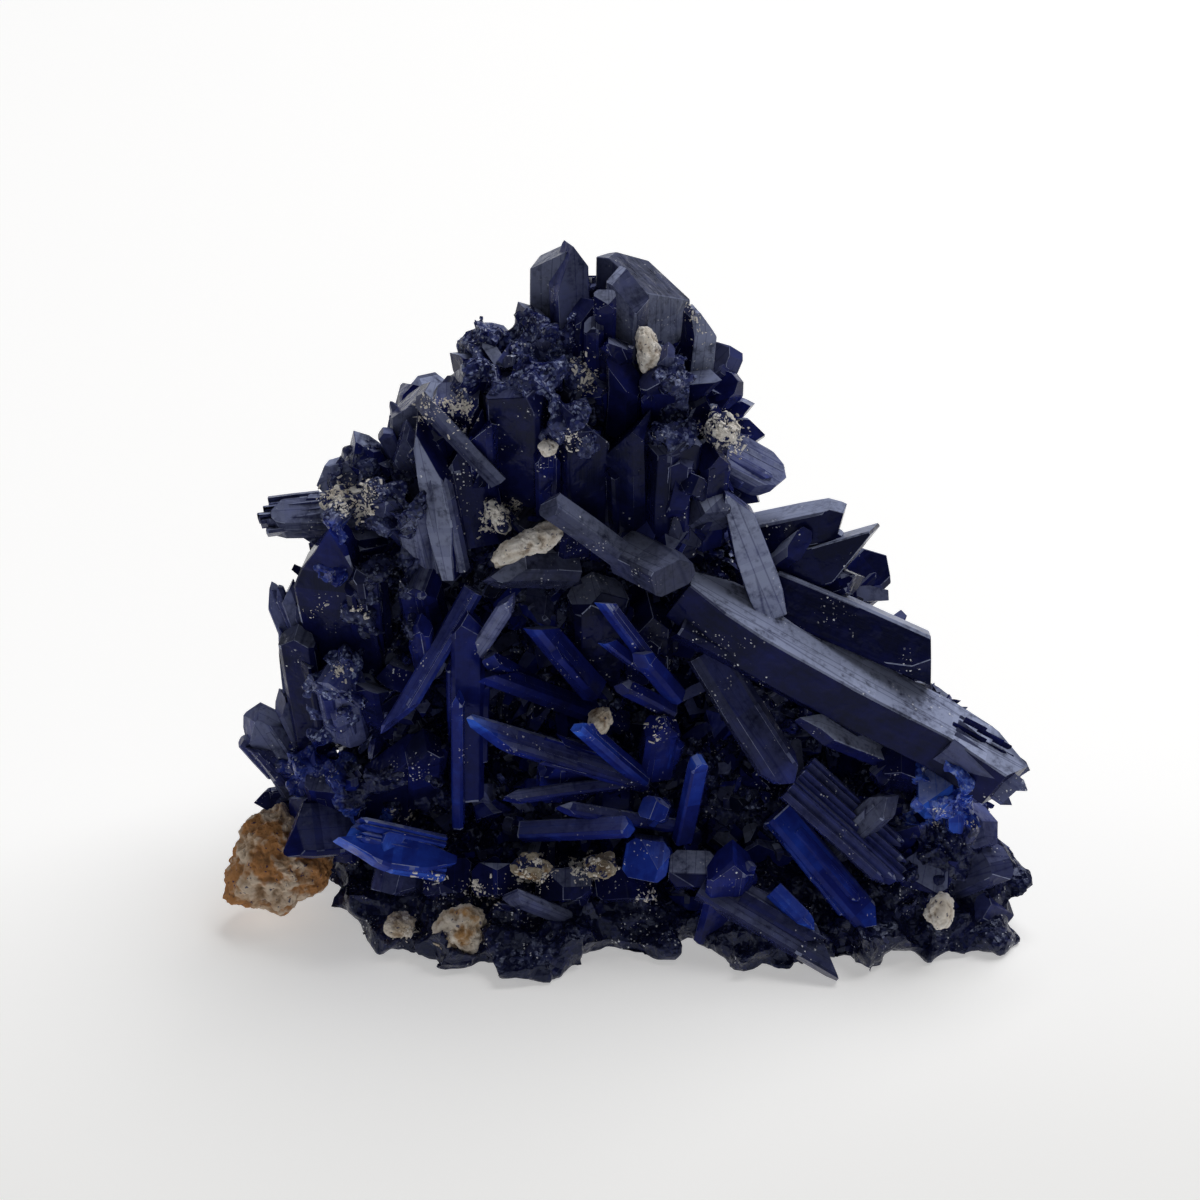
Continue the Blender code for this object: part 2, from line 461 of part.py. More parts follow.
def hidden_side():
    """Crystals over the back and both flanks."""
    made = []
    for (middle, size, seed), count, arc, heights in HIDDEN_ROUNDS:
        made += growth_round(middle, size, count, seed, arc, heights)
    return made


# The wall rock left on the hidden side, as (across, depth, height) of its middle and its size.
BACK_MATRIX_MIDDLE = (0, 36, 18)
BACK_MATRIX_SIZE = (38, 12, 30)

# Matrix lumps: name, middle, (width, depth, height), roughness, turn on the display face, seed.
MATRIX = (
    ("matrix_lump", (-33.3, 13.2, 15), (12, 9.4, 12.4), 0.3, 30, 2),
    ("matrix_wedge", (-7.2, 45.5, 12.8), (8.8, 4.6, 3), 0.5, 20, 3),
    ("matrix_nub", (-10, 48.9, 14.6), (3.2, 3.6, 3.6), 0.5, 0, 4),
    ("matrix_peak", (4.6, 64.4, 17.6), (2.8, 3.4, 5.2), 0.5, 10, 5),
    ("matrix_bead", (-5.1, 55, 12.8), (2, 2.2, 2), 0.3, 0, 6),
    ("matrix_shoulder", (-25, 50, 19.8), (5.6, 4, 3.2), 0.5, 10, 7),
    ("matrix_flank", (12, 56.8, 15.8), (3.4, 3.4, 3.8), 0.5, 0, 8),
    ("matrix_chip", (0, 27.8, 10.6), (2.8, 3.6, 3.8), 0.5, -20, 9),
    ("matrix_foot", (-14.2, 6.4, 6.4), (5.4, 5, 5), 0.4, 40, 18),
    ("matrix_heel", (-20.4, 6.8, 7.6), (3.2, 3.6, 2.6), 0.5, 0, 11),
    ("matrix_seam_left", (-7, 12.8, 7.4), (4, 3.4, 2.4), 0.6, 0, 12),
    ("matrix_seam_right", (0, 13.2, 7.4), (3.6, 3.4, 2), 0.6, 0, 13),
    ("matrix_toe", (34.6, 8.4, 6), (3, 3.6, 3.6), 0.5, 0, 14),
    ("matrix_back", level(*BACK_MATRIX_MIDDLE), BACK_MATRIX_SIZE, 0.5, 0, 15),
)
MATRIX_PAINT = {
    "matrix_lump": (0.42, 0.27, 0.14),
    "matrix_wedge": (0.70, 0.64, 0.54),
}
MATRIX_PALE = (0.55, 0.47, 0.36)
AZURITE_PAINT = (0.012, 0.016, 0.11)


def swell(shape, by):
    """Moves every face of a lump outwards by the same distance."""
    shape.normal_update()
    moves = [vertex.normal * vertex.calc_shell_factor() * by for vertex in shape.verts]
    for vertex, move in zip(shape.verts, moves):
        vertex.co += move
    return shape


def boolean(target, operation, others):
    cut = target.modifiers.new(operation.lower() + " " + others.name, "BOOLEAN")
    cut.operation = operation
    cut.solver = "EXACT"
    if isinstance(others, bpy.types.Collection):
        cut.operand_type = "COLLECTION"
        cut.collection = others
    else:
        cut.object = others


def ground_cutter(home):
    """A slab under the foot that cuts everything off flat."""
    shape = bmesh.new()
    bmesh.ops.create_cube(shape, size=1)
    shape.transform(Matrix.Diagonal((CUT_SIDE * STEP, CUT_SIDE * STEP, CUT_DEEP * STEP, 1)))
    shape.transform(Matrix.Translation((0, 0, -CUT_DEEP / 2 * STEP)))
    return new_object("ground_cutter", shape, home)


def build():
    clear_scene()
    parts = collection("azurite_specimen")
    growth = collection("growth_cutters")
    pockets = collection("pocket_cutters")
    ground = collection("ground_cutters")

    first, *shapes = (
        body() + top_blocks() + top_right_edge() + top_left_edge() + upper_face() + left_shoulder() + left_side()
        + middle() + diagonal_laths() + hollow_blades() + right_fan() + lower_right() + foot() + hidden_side()
    )
    for number, shape in enumerate(shapes):
        new_object(f"growth_{number}", shape, growth)
    azurite = new_object("azurite_crystals", first, parts, material("azurite", AZURITE_PAINT, 0.25))
    slab = ground_cutter(ground)
    boolean(azurite, "UNION", growth)

    for name, middle_at, size, rough, turn, seed in MATRIX:
        detail = 2 if max(size) > SMALL_LUMP else 1
        shape = lump(middle_at, size, rough, seed, detail, turn=turn)
        new_object(name + "_pocket", swell(shape.copy(), FIT_GAP), pockets)
        paint = material(name, MATRIX_PAINT.get(name, MATRIX_PALE), 0.9)
        boolean(new_object(name, shape, parts, paint), "DIFFERENCE", slab)
    boolean(azurite, "DIFFERENCE", pockets)
    boolean(azurite, "DIFFERENCE", slab)

    for home in (growth, pockets, ground):
        for cutter in home.objects:
            cutter.hide_render = True
            cutter.display_type = "WIRE"


build()
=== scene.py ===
import json
import math
import random

import bmesh
import bpy
import numpy as np
from mathutils import Matrix, Vector, noise
from mathutils.bvhtree import BVHTree

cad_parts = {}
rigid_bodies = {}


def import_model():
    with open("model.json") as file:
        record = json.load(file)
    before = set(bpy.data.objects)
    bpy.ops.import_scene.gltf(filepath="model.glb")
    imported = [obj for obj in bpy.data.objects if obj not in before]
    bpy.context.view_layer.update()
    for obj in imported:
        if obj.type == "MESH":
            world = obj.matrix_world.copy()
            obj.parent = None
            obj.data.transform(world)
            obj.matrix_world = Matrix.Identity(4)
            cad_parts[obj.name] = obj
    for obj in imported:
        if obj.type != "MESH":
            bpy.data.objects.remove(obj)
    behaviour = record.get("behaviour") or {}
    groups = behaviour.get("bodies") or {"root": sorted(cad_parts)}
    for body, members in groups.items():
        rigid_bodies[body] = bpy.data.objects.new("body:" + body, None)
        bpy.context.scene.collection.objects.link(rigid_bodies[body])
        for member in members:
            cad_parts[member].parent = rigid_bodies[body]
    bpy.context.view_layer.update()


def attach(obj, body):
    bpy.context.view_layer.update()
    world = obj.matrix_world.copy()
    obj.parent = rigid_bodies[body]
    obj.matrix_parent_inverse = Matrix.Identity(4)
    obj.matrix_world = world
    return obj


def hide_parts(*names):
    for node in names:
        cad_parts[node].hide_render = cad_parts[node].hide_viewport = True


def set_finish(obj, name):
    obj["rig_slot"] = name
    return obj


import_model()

# Heart. The dark mass that every crystal grows out of: azurite so finely intergrown that it looks like rough
# rock, broken uneven where the piece was trimmed from its pocket, and sawn flat underneath. Places are read
# on the display face: across and up square to a line of sight 30 degrees down, back in depth.

STEP = 0.00075  # metres in one layout step
LEAN = math.radians(30)
MIDDLE_ACROSS, MIDDLE_BACK = 2.4, 21.29  # layout place of the frame's origin, on the ground
OFF_GROUND = 0.00003  # metres between the ground and all but the sawn foot


def spot(across, up, back):
    """Point in metres at a layout place."""
    height = (up - back * math.sin(LEAN)) / math.cos(LEAN)
    return Vector((across - MIDDLE_ACROSS, back - MIDDLE_BACK, height)) * STEP


def toward(across, up, out):
    """Unit vector of a way given as it is seen: across and up the display face, and out of it."""
    return Vector((
        across,
        up * math.sin(LEAN) - out * math.cos(LEAN),
        up * math.cos(LEAN) + out * math.sin(LEAN),
    )).normalized()


def level(across, back, height):
    """Layout place of a point given by its depth and its height over the foot."""
    return across, height * math.cos(LEAN) + back * math.sin(LEAN), back


def to_place(mesh, middle):
    """Brings a mesh made in steps round its middle to metres and to its layout place."""
    mesh.transform(Matrix.Scale(STEP, 4))
    mesh.transform(Matrix.Translation(spot(*middle)))


def select_only(*things):
    """Selects these objects and no others, the first one active."""
    bpy.ops.object.select_all(action="DESELECT")
    for thing in things:
        thing.select_set(True)
    if things:
        bpy.context.view_layer.objects.active = things[0]


def made_one(things, name):
    """Joins finished objects into one piece."""
    select_only(*things)
    bpy.ops.object.join()
    things[0].name = things[0].data.name = name
    return things[0]


def finish_with(thing, kind, **settings):
    """Adds one modifier and applies it."""
    select_only(thing)
    added = thing.modifiers.new(kind.title(), kind)
    for key, value in settings.items():
        setattr(added, key, value)
    bpy.ops.object.modifier_apply(modifier=added.name)


def pit(thing, name, size, depth, middle):
    """Sinks hollows of about this size and depth into a surface, with sharp ridges between them."""
    hollows = bpy.data.textures.new(name, "VORONOI")
    hollows.noise_scale = size
    finish_with(thing, "DISPLACE", texture=hollows, texture_coords="LOCAL", strength=-depth, mid_level=middle)


def saw(point, normal, **settings):
    """Cuts the shape in edit mode along a plane, drops what stands beyond it and closes the cut."""
    bpy.ops.mesh.select_all(action="SELECT")
    bpy.ops.mesh.bisect(plane_co=point, plane_no=normal, use_fill=True, clear_outer=True, **settings)


def cut_flat(thing, height=0.0):
    """Saws a closed shape off level."""
    if min(vertex.co.z for vertex in thing.data.vertices) >= height:
        return
    select_only(thing)
    bpy.ops.object.mode_set(mode="EDIT")
    saw((0, 0, height), (0, 0, -1), threshold=0.000001)
    bpy.ops.object.mode_set(mode="OBJECT")


def any_way(luck, spread=1):
    """A vector drawn at random, alike in all directions."""
    return Vector([luck.gauss(0, spread) for _ in range(3)])


def chip_off(thing, count, near, seed):
    """Breaks flat faces off a rough shape, each at a distance from its middle."""
    luck = random.Random(seed)
    select_only(thing)
    bpy.ops.object.mode_set(mode="EDIT")
    for _ in range(count):
        outward = any_way(luck).normalized()
        saw(outward * luck.uniform(*near), outward)
    bpy.ops.object.mode_set(mode="OBJECT")


def numbers(items, field, wide=1, kind=float):
    """One measure of every vertex, corner or face of a mesh."""
    found = np.empty(len(items) * wide, kind)
    items.foreach_get(field, found)
    return found.reshape(-1, wide) if wide > 1 else found


class Value:
    """A socket of a material under way, so that its sums read as sums."""

    def __init__(self, paint, socket):
        self.paint = paint
        self.socket = socket

    def sum(self, operation, first, second):
        return self.paint.node("Math", {0: first, 1: second}, operation=operation)

    def __add__(self, other):
        return self.sum("ADD", self, other)

    def __sub__(self, other):
        return self.sum("SUBTRACT", self, other)

    def __rsub__(self, other):
        return self.sum("SUBTRACT", other, self)

    def __mul__(self, other):
        return self.sum("MULTIPLY", self, other)

    __radd__ = __add__
    __rmul__ = __mul__

    def within(self, low, high):
        """0 below low, 1 above high and smooth between."""
        sockets = {"Value": self, "From Min": low, "From Max": high}
        return self.paint.node("MapRange", sockets, interpolation_type="SMOOTHSTEP")

    def parts(self, kind="SeparateColor"):
        """The three numbers of a colour, or of a place with SeparateXYZ."""
        split = self.paint.node(kind, {0: self})
        return [Value(self.paint, socket) for socket in split.socket.node.outputs]


class Paint:
    """A material under way, on a Principled surface."""

    def __init__(self, name, **surface):
        self.material = bpy.data.materials.new(name)
        self.material.use_nodes = True
        self.tree = self.material.node_tree
        self.surface = self.tree.nodes["Principled BSDF"]
        for socket, value in surface.items():
            self.surface.inputs[socket.replace("_", " ")].default_value = value

    def node(self, kind, sockets=None, out=0, stops=(), **settings):
        """Adds a node, with each socket linked to a value or set to a number or colour."""
        made = self.tree.nodes.new("ShaderNode" + kind)
        for key, value in settings.items():
            setattr(made, key, value)
        if stops:
            marks = made.color_ramp.elements
            while len(marks) < len(stops):
                marks.new(0.5)
            for mark, (position, colour) in zip(marks, stops):
                mark.position = position
                mark.color = (*colour, 1)
        for key, value in (sockets or {}).items():
            if isinstance(value, Value):
                self.tree.links.new(value.socket, made.inputs[key])
            else:
                made.inputs[key].default_value = value
        return Value(self, made.outputs[out])

    def place(self):
        return self.node("TexCoord", out=3)

    def noise(self, where, size, detail=3, rough=0.55, out=0):
        """Cloudy variation whose patches are about size metres (or steps, on a grain map) across."""
        sockets = {"Vector": where, "Scale": 1 / size, "Detail": detail, "Roughness": rough}
        return self.node("TexNoise", sockets, out)

    def cells(self, where, size, out=0, **settings):
        """Cells of about this size: 0 gives how far their middles are, 1 a colour of each cell's own."""
        return self.node("TexVoronoi", {"Vector": where, "Scale": 1 / size}, out, **settings)

    def mix(self, share, first, second):
        return self.node("Mix", {0: share, 6: first, 7: second}, 2, data_type="RGBA")

    def bump(self, strength, distance, height, **sockets):
        return self.node("Bump", {"Strength": strength, "Distance": distance, "Height": height, **sockets})

    def feed(self, **sockets):
        for socket, value in sockets.items():
            self.tree.links.new(value.socket, self.surface.inputs[socket.replace("_", " ")])
        return self.material


AZURITE_DEPTHS = (  # from the near-black of a thick crystal to the azure of a thin or broken one
    (0.0, (0.0045, 0.0058, 0.0260)),
    (0.25, (0.0075, 0.0098, 0.0720)),
    (0.55, (0.0105, 0.0180, 0.1750)),
    (0.82, (0.0170, 0.0480, 0.3800)),
    (1.0, (0.0400, 0.1300, 0.7000)),
)
SHEEN = (0.62, 0.70, 1.0, 1)
# Whitish clay dust, whose specks are partly painted glints.
DUST_AND_GLINT = (0.80, 0.82, 0.88, 1)
DUST_CRUMB = 0.00024  # metres from crumb to crumb where it lies thick


def dust_with_glints_on(paint, place, where_from):
    """Share of clay dust: crumbs and a few larger flakes, gathered in ragged patches. Its whitish specks are
    partly painted glints.
    """
    where = paint.noise(place, 0.0032, 5, 0.65).within(where_from, where_from + 0.08)
    bend = paint.noise(place, 0.00009, 2, out=1)
    bent = paint.node("VectorMath", {0: bend, 1: [0.0002] * 3, 2: place}, operation="MULTIPLY_ADD")
    crumb = paint.cells(bent, DUST_CRUMB)
    own = Value(paint, crumb.socket.node.outputs[1]).parts()[0]
    return (own * own * 0.4 - crumb).within(0.0, 0.08) * where


def granular_azurite():
    """Azurite in grains: each faces its own way, some are painted pale with frost and painted sheen, a few
    tiny cells carry painted glints, and dust lies on it in patches.
    """
    paint = Paint("azurite_granular", IOR=1.45, Specular_Tint=SHEEN)
    place = paint.place()
    blue, frost_and_sheen, _ = paint.node("Attribute", attribute_name="tone").parts()
    patches = paint.noise(place, 0.0022)
    grains = paint.cells(place, 0.00045)
    facets = paint.cells(place, 0.00035, 1)
    cell = facets.parts()[0]
    depth = blue + (patches - 0.5) * 0.5 + (cell - 0.5) * 0.25
    body = paint.node("ValToRGB", {0: depth}, stops=AZURITE_DEPTHS)
    # Pale grains: real frost together with painted sheen, following the pale share.
    pale = paint.mix(frost_and_sheen * patches.within(0.35, 0.65) * cell, body, (0.13, 0.16, 0.30, 1))
    # Painted glints: a few tiny cells painted bright blue-white where the pale share is high.
    glint = paint.cells(place, 0.0002, 1).parts()[0].within(0.86, 0.9) * frost_and_sheen
    bright = paint.mix(glint * 0.8, pale, (0.42, 0.50, 0.78, 1))
    dust_and_glint = dust_with_glints_on(paint, place, 0.52)
    tilt = paint.node("VectorMath", {0: facets, 1: (0.5, 0.5, 0.5)}, operation="SUBTRACT")
    leant = paint.node("VectorMath", {0: tilt, 3: frost_and_sheen * 1.4 + 0.25}, operation="SCALE")
    upright = paint.node("NewGeometry", out=1)
    faced = paint.node("VectorMath", {0: leant, 1: upright}, operation="ADD")
    facet = paint.node("VectorMath", {0: faced}, operation="NORMALIZE")
    height = grains * 0.4 + paint.noise(place, 0.0002) * 0.4
    return paint.feed(
        Base_Color=paint.mix(dust_and_glint, bright, DUST_AND_GLINT),
        Roughness=0.12 + cell * 0.25 + dust_and_glint * 0.5,
        Normal=paint.bump(0.6, 0.00012, height, Normal=facet),
    )


GRANULAR = granular_azurite()

# Middle of each lump of the mass as (across, depth, height), its size, and a seed for its unevenness.
HEART_LUMPS = (
    ((4, 25, 9), (70, 28, 25), 3),
    ((-20, 25, 25), (20, 21, 33), 5),
    ((-1, 26, 36), (33, 19, 43), 7),
    ((0.5, 26, 56), (18, 14, 24), 12),
    ((18, 26, 23), (26, 19, 26), 13),
    ((-15, 25, 42), (21, 12, 17), 17),
    ((-13, 19, 4), (23, 19, 16), 19),
    ((7, 19, 4), (29, 18, 16), 23),
    ((28, 19, 7), (25, 20, 21), 29),
    ((1, 22, 60), (12, 8, 13), 31),
    ((30, 23, 16), (19, 17, 15), 37),
)


def heart():
    lumps = []
    for middle, size, seed in HEART_LUMPS:
        select_only()
        bpy.ops.mesh.primitive_ico_sphere_add(subdivisions=3, radius=0.5)
        lump = bpy.context.active_object
        for vertex in lump.data.vertices:
            vertex.co *= 1 + 0.3 * noise.noise(vertex.co * 4.3 + Vector((seed * 7.1, seed * 3.7, seed)))
        chip_off(lump, 22, (0.36, 0.45), seed)
        lump.data.transform(Matrix.Diagonal((*size, 1)))
        to_place(lump.data, level(*middle))
        lumps.append(lump)
    mass = made_one(lumps, "heart")
    finish_with(mass, "REMESH", mode="VOXEL", voxel_size=0.0006)
    pit(mass, "heart_blocks", 0.0035, 0.0022, 0.2)
    finish_with(mass, "DECIMATE", ratio=0.22)
    cut_flat(mass)
    return mass


def tone_of(mesh, blue, frost_and_sheen, own=0.5, shine=0.8, pale_side=None):
    """Writes on every face how blue and how pale it is, and its crystal's own number. No two faces are alike,
    and faces that look up are painted paler, by a given amount: a painted reflection of the bright light
    above.
    A share of the narrow edge faces that look up get a painted highlight. With a pale side given, the pale
    share of frost and painted sheen keeps to the faces that look that way."""
    corner = numbers(mesh.loops, "vertex_index", kind=np.int32)
    totals = numbers(mesh.polygons, "loop_total", kind=np.int32)
    facing = numbers(mesh.polygons, "normal", 3)
    area = numbers(mesh.polygons, "area")
    count = len(mesh.polygons)
    luck = np.random.default_rng(int(np.mean(own) * 1e6) + count)
    # Painted sheen: faces that look up are painted paler, a painted reflection of the light above.
    lit = np.clip((facing[:, 2] - 0.68) / 0.22, 0, 1) * luck.uniform(0.25, 1, count) * shine
    # Painted highlight: about half of the narrow edge faces that look up are painted pale.
    painted_edge_highlight = (area < 0.025 * area.max()) & (facing[:, 2] > -0.3)
    lit = np.where(painted_edge_highlight, luck.choice((0, 0, 0.4, 0.9), count) * shine, lit)
    spread = [np.broadcast_to(value, len(mesh.vertices))[corner] for value in (blue, frost_and_sheen, own)]
    colours = np.ones((len(corner), 4), np.float32)
    colours[:, 0] = spread[0] + np.repeat(luck.normal(0, 0.05, count), totals)
    # The pale share of each face: real frost and wear together with painted sheen, kept to the pale side.
    wear_and_sheen = luck.uniform(0.75, 1, count)
    if pale_side is not None:
        least = 0 if np.max(frost_and_sheen) > 0.6 else 0.4
        wear_and_sheen *= np.clip((facing @ np.array(pale_side) - 0.45) / 0.4, least, 1)
    colours[:, 1] = np.maximum(spread[1] * np.repeat(wear_and_sheen, totals), np.repeat(lit, totals))
    colours[:, 2] = spread[2]
    tone = mesh.attributes.get("tone") or mesh.attributes.new("tone", "FLOAT_COLOR", "CORNER")
    tone.data.foreach_set("color", np.clip(colours, 0, 1).ravel())


def part_of_crystals(piece, material):
    """Finishes a piece of the azurite: its paint, and what it stands for and rides on."""
    piece.data.materials.append(material)
    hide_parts("azurite_crystals")
    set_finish(piece, "azurite")
    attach(piece, "root")


mass = heart()
tone_of(mass.data, 0.12, 0.0, shine=0.4)
part_of_crystals(mass, GRANULAR)

# Peak. Two thick blocks crown the piece, with small tabular crystals standing in front of them. They are
# single crystals of azurite, near black because they are thick, and grow straight out of the mass.

# How a crystal ends, as cuts of (way it looks round the crystal in degrees, slope in degrees, where it starts
# as a share of the way from the middle line to that side).
SQUARE = ()
ROOF = ((0, 50, 0), (180, 50, 0))
ROOF_LOW = ((0, 30, 0), (180, 30, 0))
ROOF_SHARP = ((0, 66, 0), (180, 66, 0))
RIGHT_CUT = ((0, 50, -1),)
RIGHT_STEEP = ((0, 68, -1),)
LEFT_CUT = ((180, 50, -1),)
LEFT_STEEP = ((180, 68, -1),)
POINT = ((0, 58, 0), (180, 58, 0), (90, 40, 0))
ROUND = ((0, 28, -0.2), (0, 62, 0.35), (180, 28, -0.2), (180, 62, 0.35))

HABITS = 7  # how many ways each end is made, no two alike
CLEAN_HABITS = (1, 3, 5)  # those with no ledge on their sides
LEDGE_SIDES = ((1,), (), (1, -1), ())  # which broad sides carry a ledge, habit by habit
THICK_ENOUGH = 2.4  # steps across, from which a crystal has smaller ones grown along it
forms = {}
chance = random.Random(77)


def pick(thing, edges=None, faces=None):
    """Selects the edges or faces of the shape in edit mode that pass a test, and nothing else."""
    shape = bmesh.from_edit_mesh(thing.data)
    for part in (*shape.verts, *shape.edges, *shape.faces):
        part.select_set(False)
    if edges:
        for edge in shape.edges:
            if edges(edge.verts[0].co, edge.verts[1].co):
                edge.select_set(True)
    if faces:
        for face in shape.faces:
            if faces(face.calc_center_median(), face.normal):
                face.select_set(True)
    bmesh.update_edit_mesh(thing.data)


def score(point, normal):
    """Runs a line of new edges round the whole shape where a plane meets it."""
    bpy.ops.mesh.select_all(action="SELECT")
    bpy.ops.mesh.bisect(plane_co=point, plane_no=normal)


def slanted(direction, slope, flatness):
    """Way that a cut looks, the side it is on, and how far that side is from the crystal's middle line."""
    side = Vector((math.cos(direction), math.sin(direction), 0))
    reach = (abs(side.x) + abs(side.y) * flatness) / 2
    return side * math.sin(slope) + Vector((0, 0, math.cos(slope))), side, reach


def end_cuts(end, flatness, luck):
    """Planes that cut a crystal's end, with a few chipped corners, and how far down from the tip they go."""
    cuts = []
    neck = 0.3
    for direction, slope, start_at in end:
        tilt = math.radians(slope)
        normal, side, reach = slanted(math.radians(direction), tilt, flatness)
        cuts.append((side * reach * start_at, normal))
        neck = max(neck, (1 - start_at) * reach * math.tan(tilt) + 0.1)
    for _ in range(luck.randint(1, 3)):
        normal, side, reach = slanted(luck.uniform(0, math.tau), math.radians(luck.uniform(35, 75)), flatness)
        start = side * reach * luck.uniform(0.55, 0.85) - Vector((0, 0, luck.uniform(0, 0.6) * neck))
        cuts.append((start, normal))
    return cuts, neck


def ledge(thing, side, neck, flatness, luck):
    """Raises a narrow strip of one broad side a little, from the root up to a stop below the tip."""
    low = luck.uniform(-0.36, 0.12)
    high = low + luck.uniform(0.08, 0.3)
    stop = -neck * luck.uniform(0.2, 1) - luck.choice((0, 0, 0.2))
    rise = luck.uniform(0.01, 0.03) * side
    score((low, 0, 0), (1, 0, 0))
    score((high, 0, 0), (1, 0, 0))
    score((0, 0, stop), (0, 0, 1))
    pick(
        thing,
        faces=lambda at, normal: normal.y * side > 0.9 and low < at.x < high and at.z < stop
        and abs(at.y) < flatness / 2 + 0.01,
    )
    bpy.ops.mesh.extrude_region_move(TRANSFORM_OT_translate={"value": (0, rise, 0)})


def crystal_form(end, flatness, habit, corner, rings=0):
    """One shape of crystal, a unit wide with its tip at the origin, modelled once and kept for its copies."""
    key = (end, flatness, habit, corner, rings)
    if key in forms:
        return forms[key]
    luck = random.Random(habit * 101 + len(end) * 7 + round(flatness * 10))
    cuts, neck = end_cuts(end, flatness, luck)
    select_only()
    bpy.ops.mesh.primitive_cube_add(size=1)
    thing = bpy.context.active_object
    bpy.ops.object.mode_set(mode="EDIT")
    bpy.ops.transform.resize(value=(1, flatness, neck + 1))
    bpy.ops.transform.translate(value=(0, 0, -(neck + 1) / 2))
    pick(thing, edges=lambda a, b: abs(a.z - b.z) > 0.5 and a.x * a.y > 0)
    bpy.ops.mesh.bevel(offset=corner * flatness * luck.uniform(0.7, 1.2), segments=1, affect="EDGES")
    pick(thing, edges=lambda a, b: abs(a.z - b.z) > 0.5 and a.x * a.y < 0 and abs(abs(a.x) - 0.5) < 0.01)
    bpy.ops.mesh.bevel(offset=corner * flatness * luck.uniform(0.4, 1.1), segments=1, affect="EDGES")
    for point, normal in cuts:
        saw(point, normal)
    score((0, 0, -neck), (0, 0, 1))
    score((0, 0, -neck - 0.45), (0, 0, 1))
    for ring in range(rings):
        score((0, 0, -neck - (ring + 1) / (rings + 1)), (0, 0, 1))
    for side in () if rings else LEDGE_SIDES[habit % 4]:
        ledge(thing, side, neck, flatness, luck)
    bpy.ops.object.mode_set(mode="OBJECT")
    finish_with(thing, "BEVEL", width=0.012, segments=1, limit_method="ANGLE", angle_limit=math.radians(24))
    forms[key] = (thing.data, neck)
    bpy.data.objects.remove(thing)
    return forms[key]


def grain_map(mesh):
    """Lays a flat map along the crystal, in steps, so that striations run from root to tip on every face."""
    corner = numbers(mesh.loops, "vertex_index", kind=np.int32)
    totals = numbers(mesh.polygons, "loop_total", kind=np.int32)
    facing = np.repeat(numbers(mesh.polygons, "normal", 3), totals, axis=0)
    places = numbers(mesh.vertices, "co", 3)[corner]
    flat = np.abs(facing[:, 2]) < 0.6
    around = np.where(flat, places[:, 1] * facing[:, 0] - places[:, 0] * facing[:, 1], places[:, 0])
    length = np.where(flat, places[:, 2], places[:, 1])
    grain = mesh.uv_layers.get("grain") or mesh.uv_layers.new(name="grain")
    grain.data.foreach_set("uv", np.stack([around, length], 1).astype(np.float32).ravel())


def axes_of(start, finish, facing):
    """Ways along a crystal, to its right and out of its broad face."""
    along = (finish - start).normalized()
    right = along.cross(facing).normalized()
    return along, right, right.cross(along)


def crystal(root, tip, width, thick, face=(0, 0, 1), end=ROOF, blue=0.1, frost_and_sheen=0.0, tip_blue=None,
            corner=0.24, company=None, outline=None, **looks):
    """One crystal from its root to its tip, in layout steps, with the smaller ones grown along it; face is
    the way its broad face looks."""
    start, finish, facing = spot(*root), spot(*tip), toward(*face)
    along, right, broad = axes_of(start, finish, facing)
    length = (finish - start).length / STEP
    clean = company == 0
    made = [crystal_between(
        start, finish, width, thick, facing, end, blue, frost_and_sheen, tip_blue, corner, outline, clean, **looks,
    )]
    if company is None:
        company = 0 if width < THICK_ENOUGH else chance.randint(2, 4)
    for _ in range(company):
        angle = chance.uniform(0, math.tau)
        outward = right * math.cos(angle) * width / 2 + broad * math.sin(angle) * thick / 2
        base = start + (outward * 0.75 + along * length * chance.uniform(0.05, 0.3)) * STEP
        stop = start + (outward * chance.uniform(0.8, 1.1) + along * length * chance.uniform(0.5, 0.9)) * STEP
        size = width * chance.uniform(0.22, 0.5)
        turned = (facing + right * chance.uniform(-0.6, 0.6)).normalized()
        made.append(crystal_between(
            base, stop, size, size * chance.uniform(0.5, 0.9), turned,
            chance.choice((ROOF, LEFT_CUT, RIGHT_CUT, ROOF_LOW)), blue + chance.uniform(-0.05, 0.12),
            frost_and_sheen * chance.random(), None, corner,
        ))
    return made


def lone(*place, corner=0.06, **looks):
    """A clean crystal with sharp edges and none grown along it."""
    return crystal(*place, corner=corner, company=0, **looks)


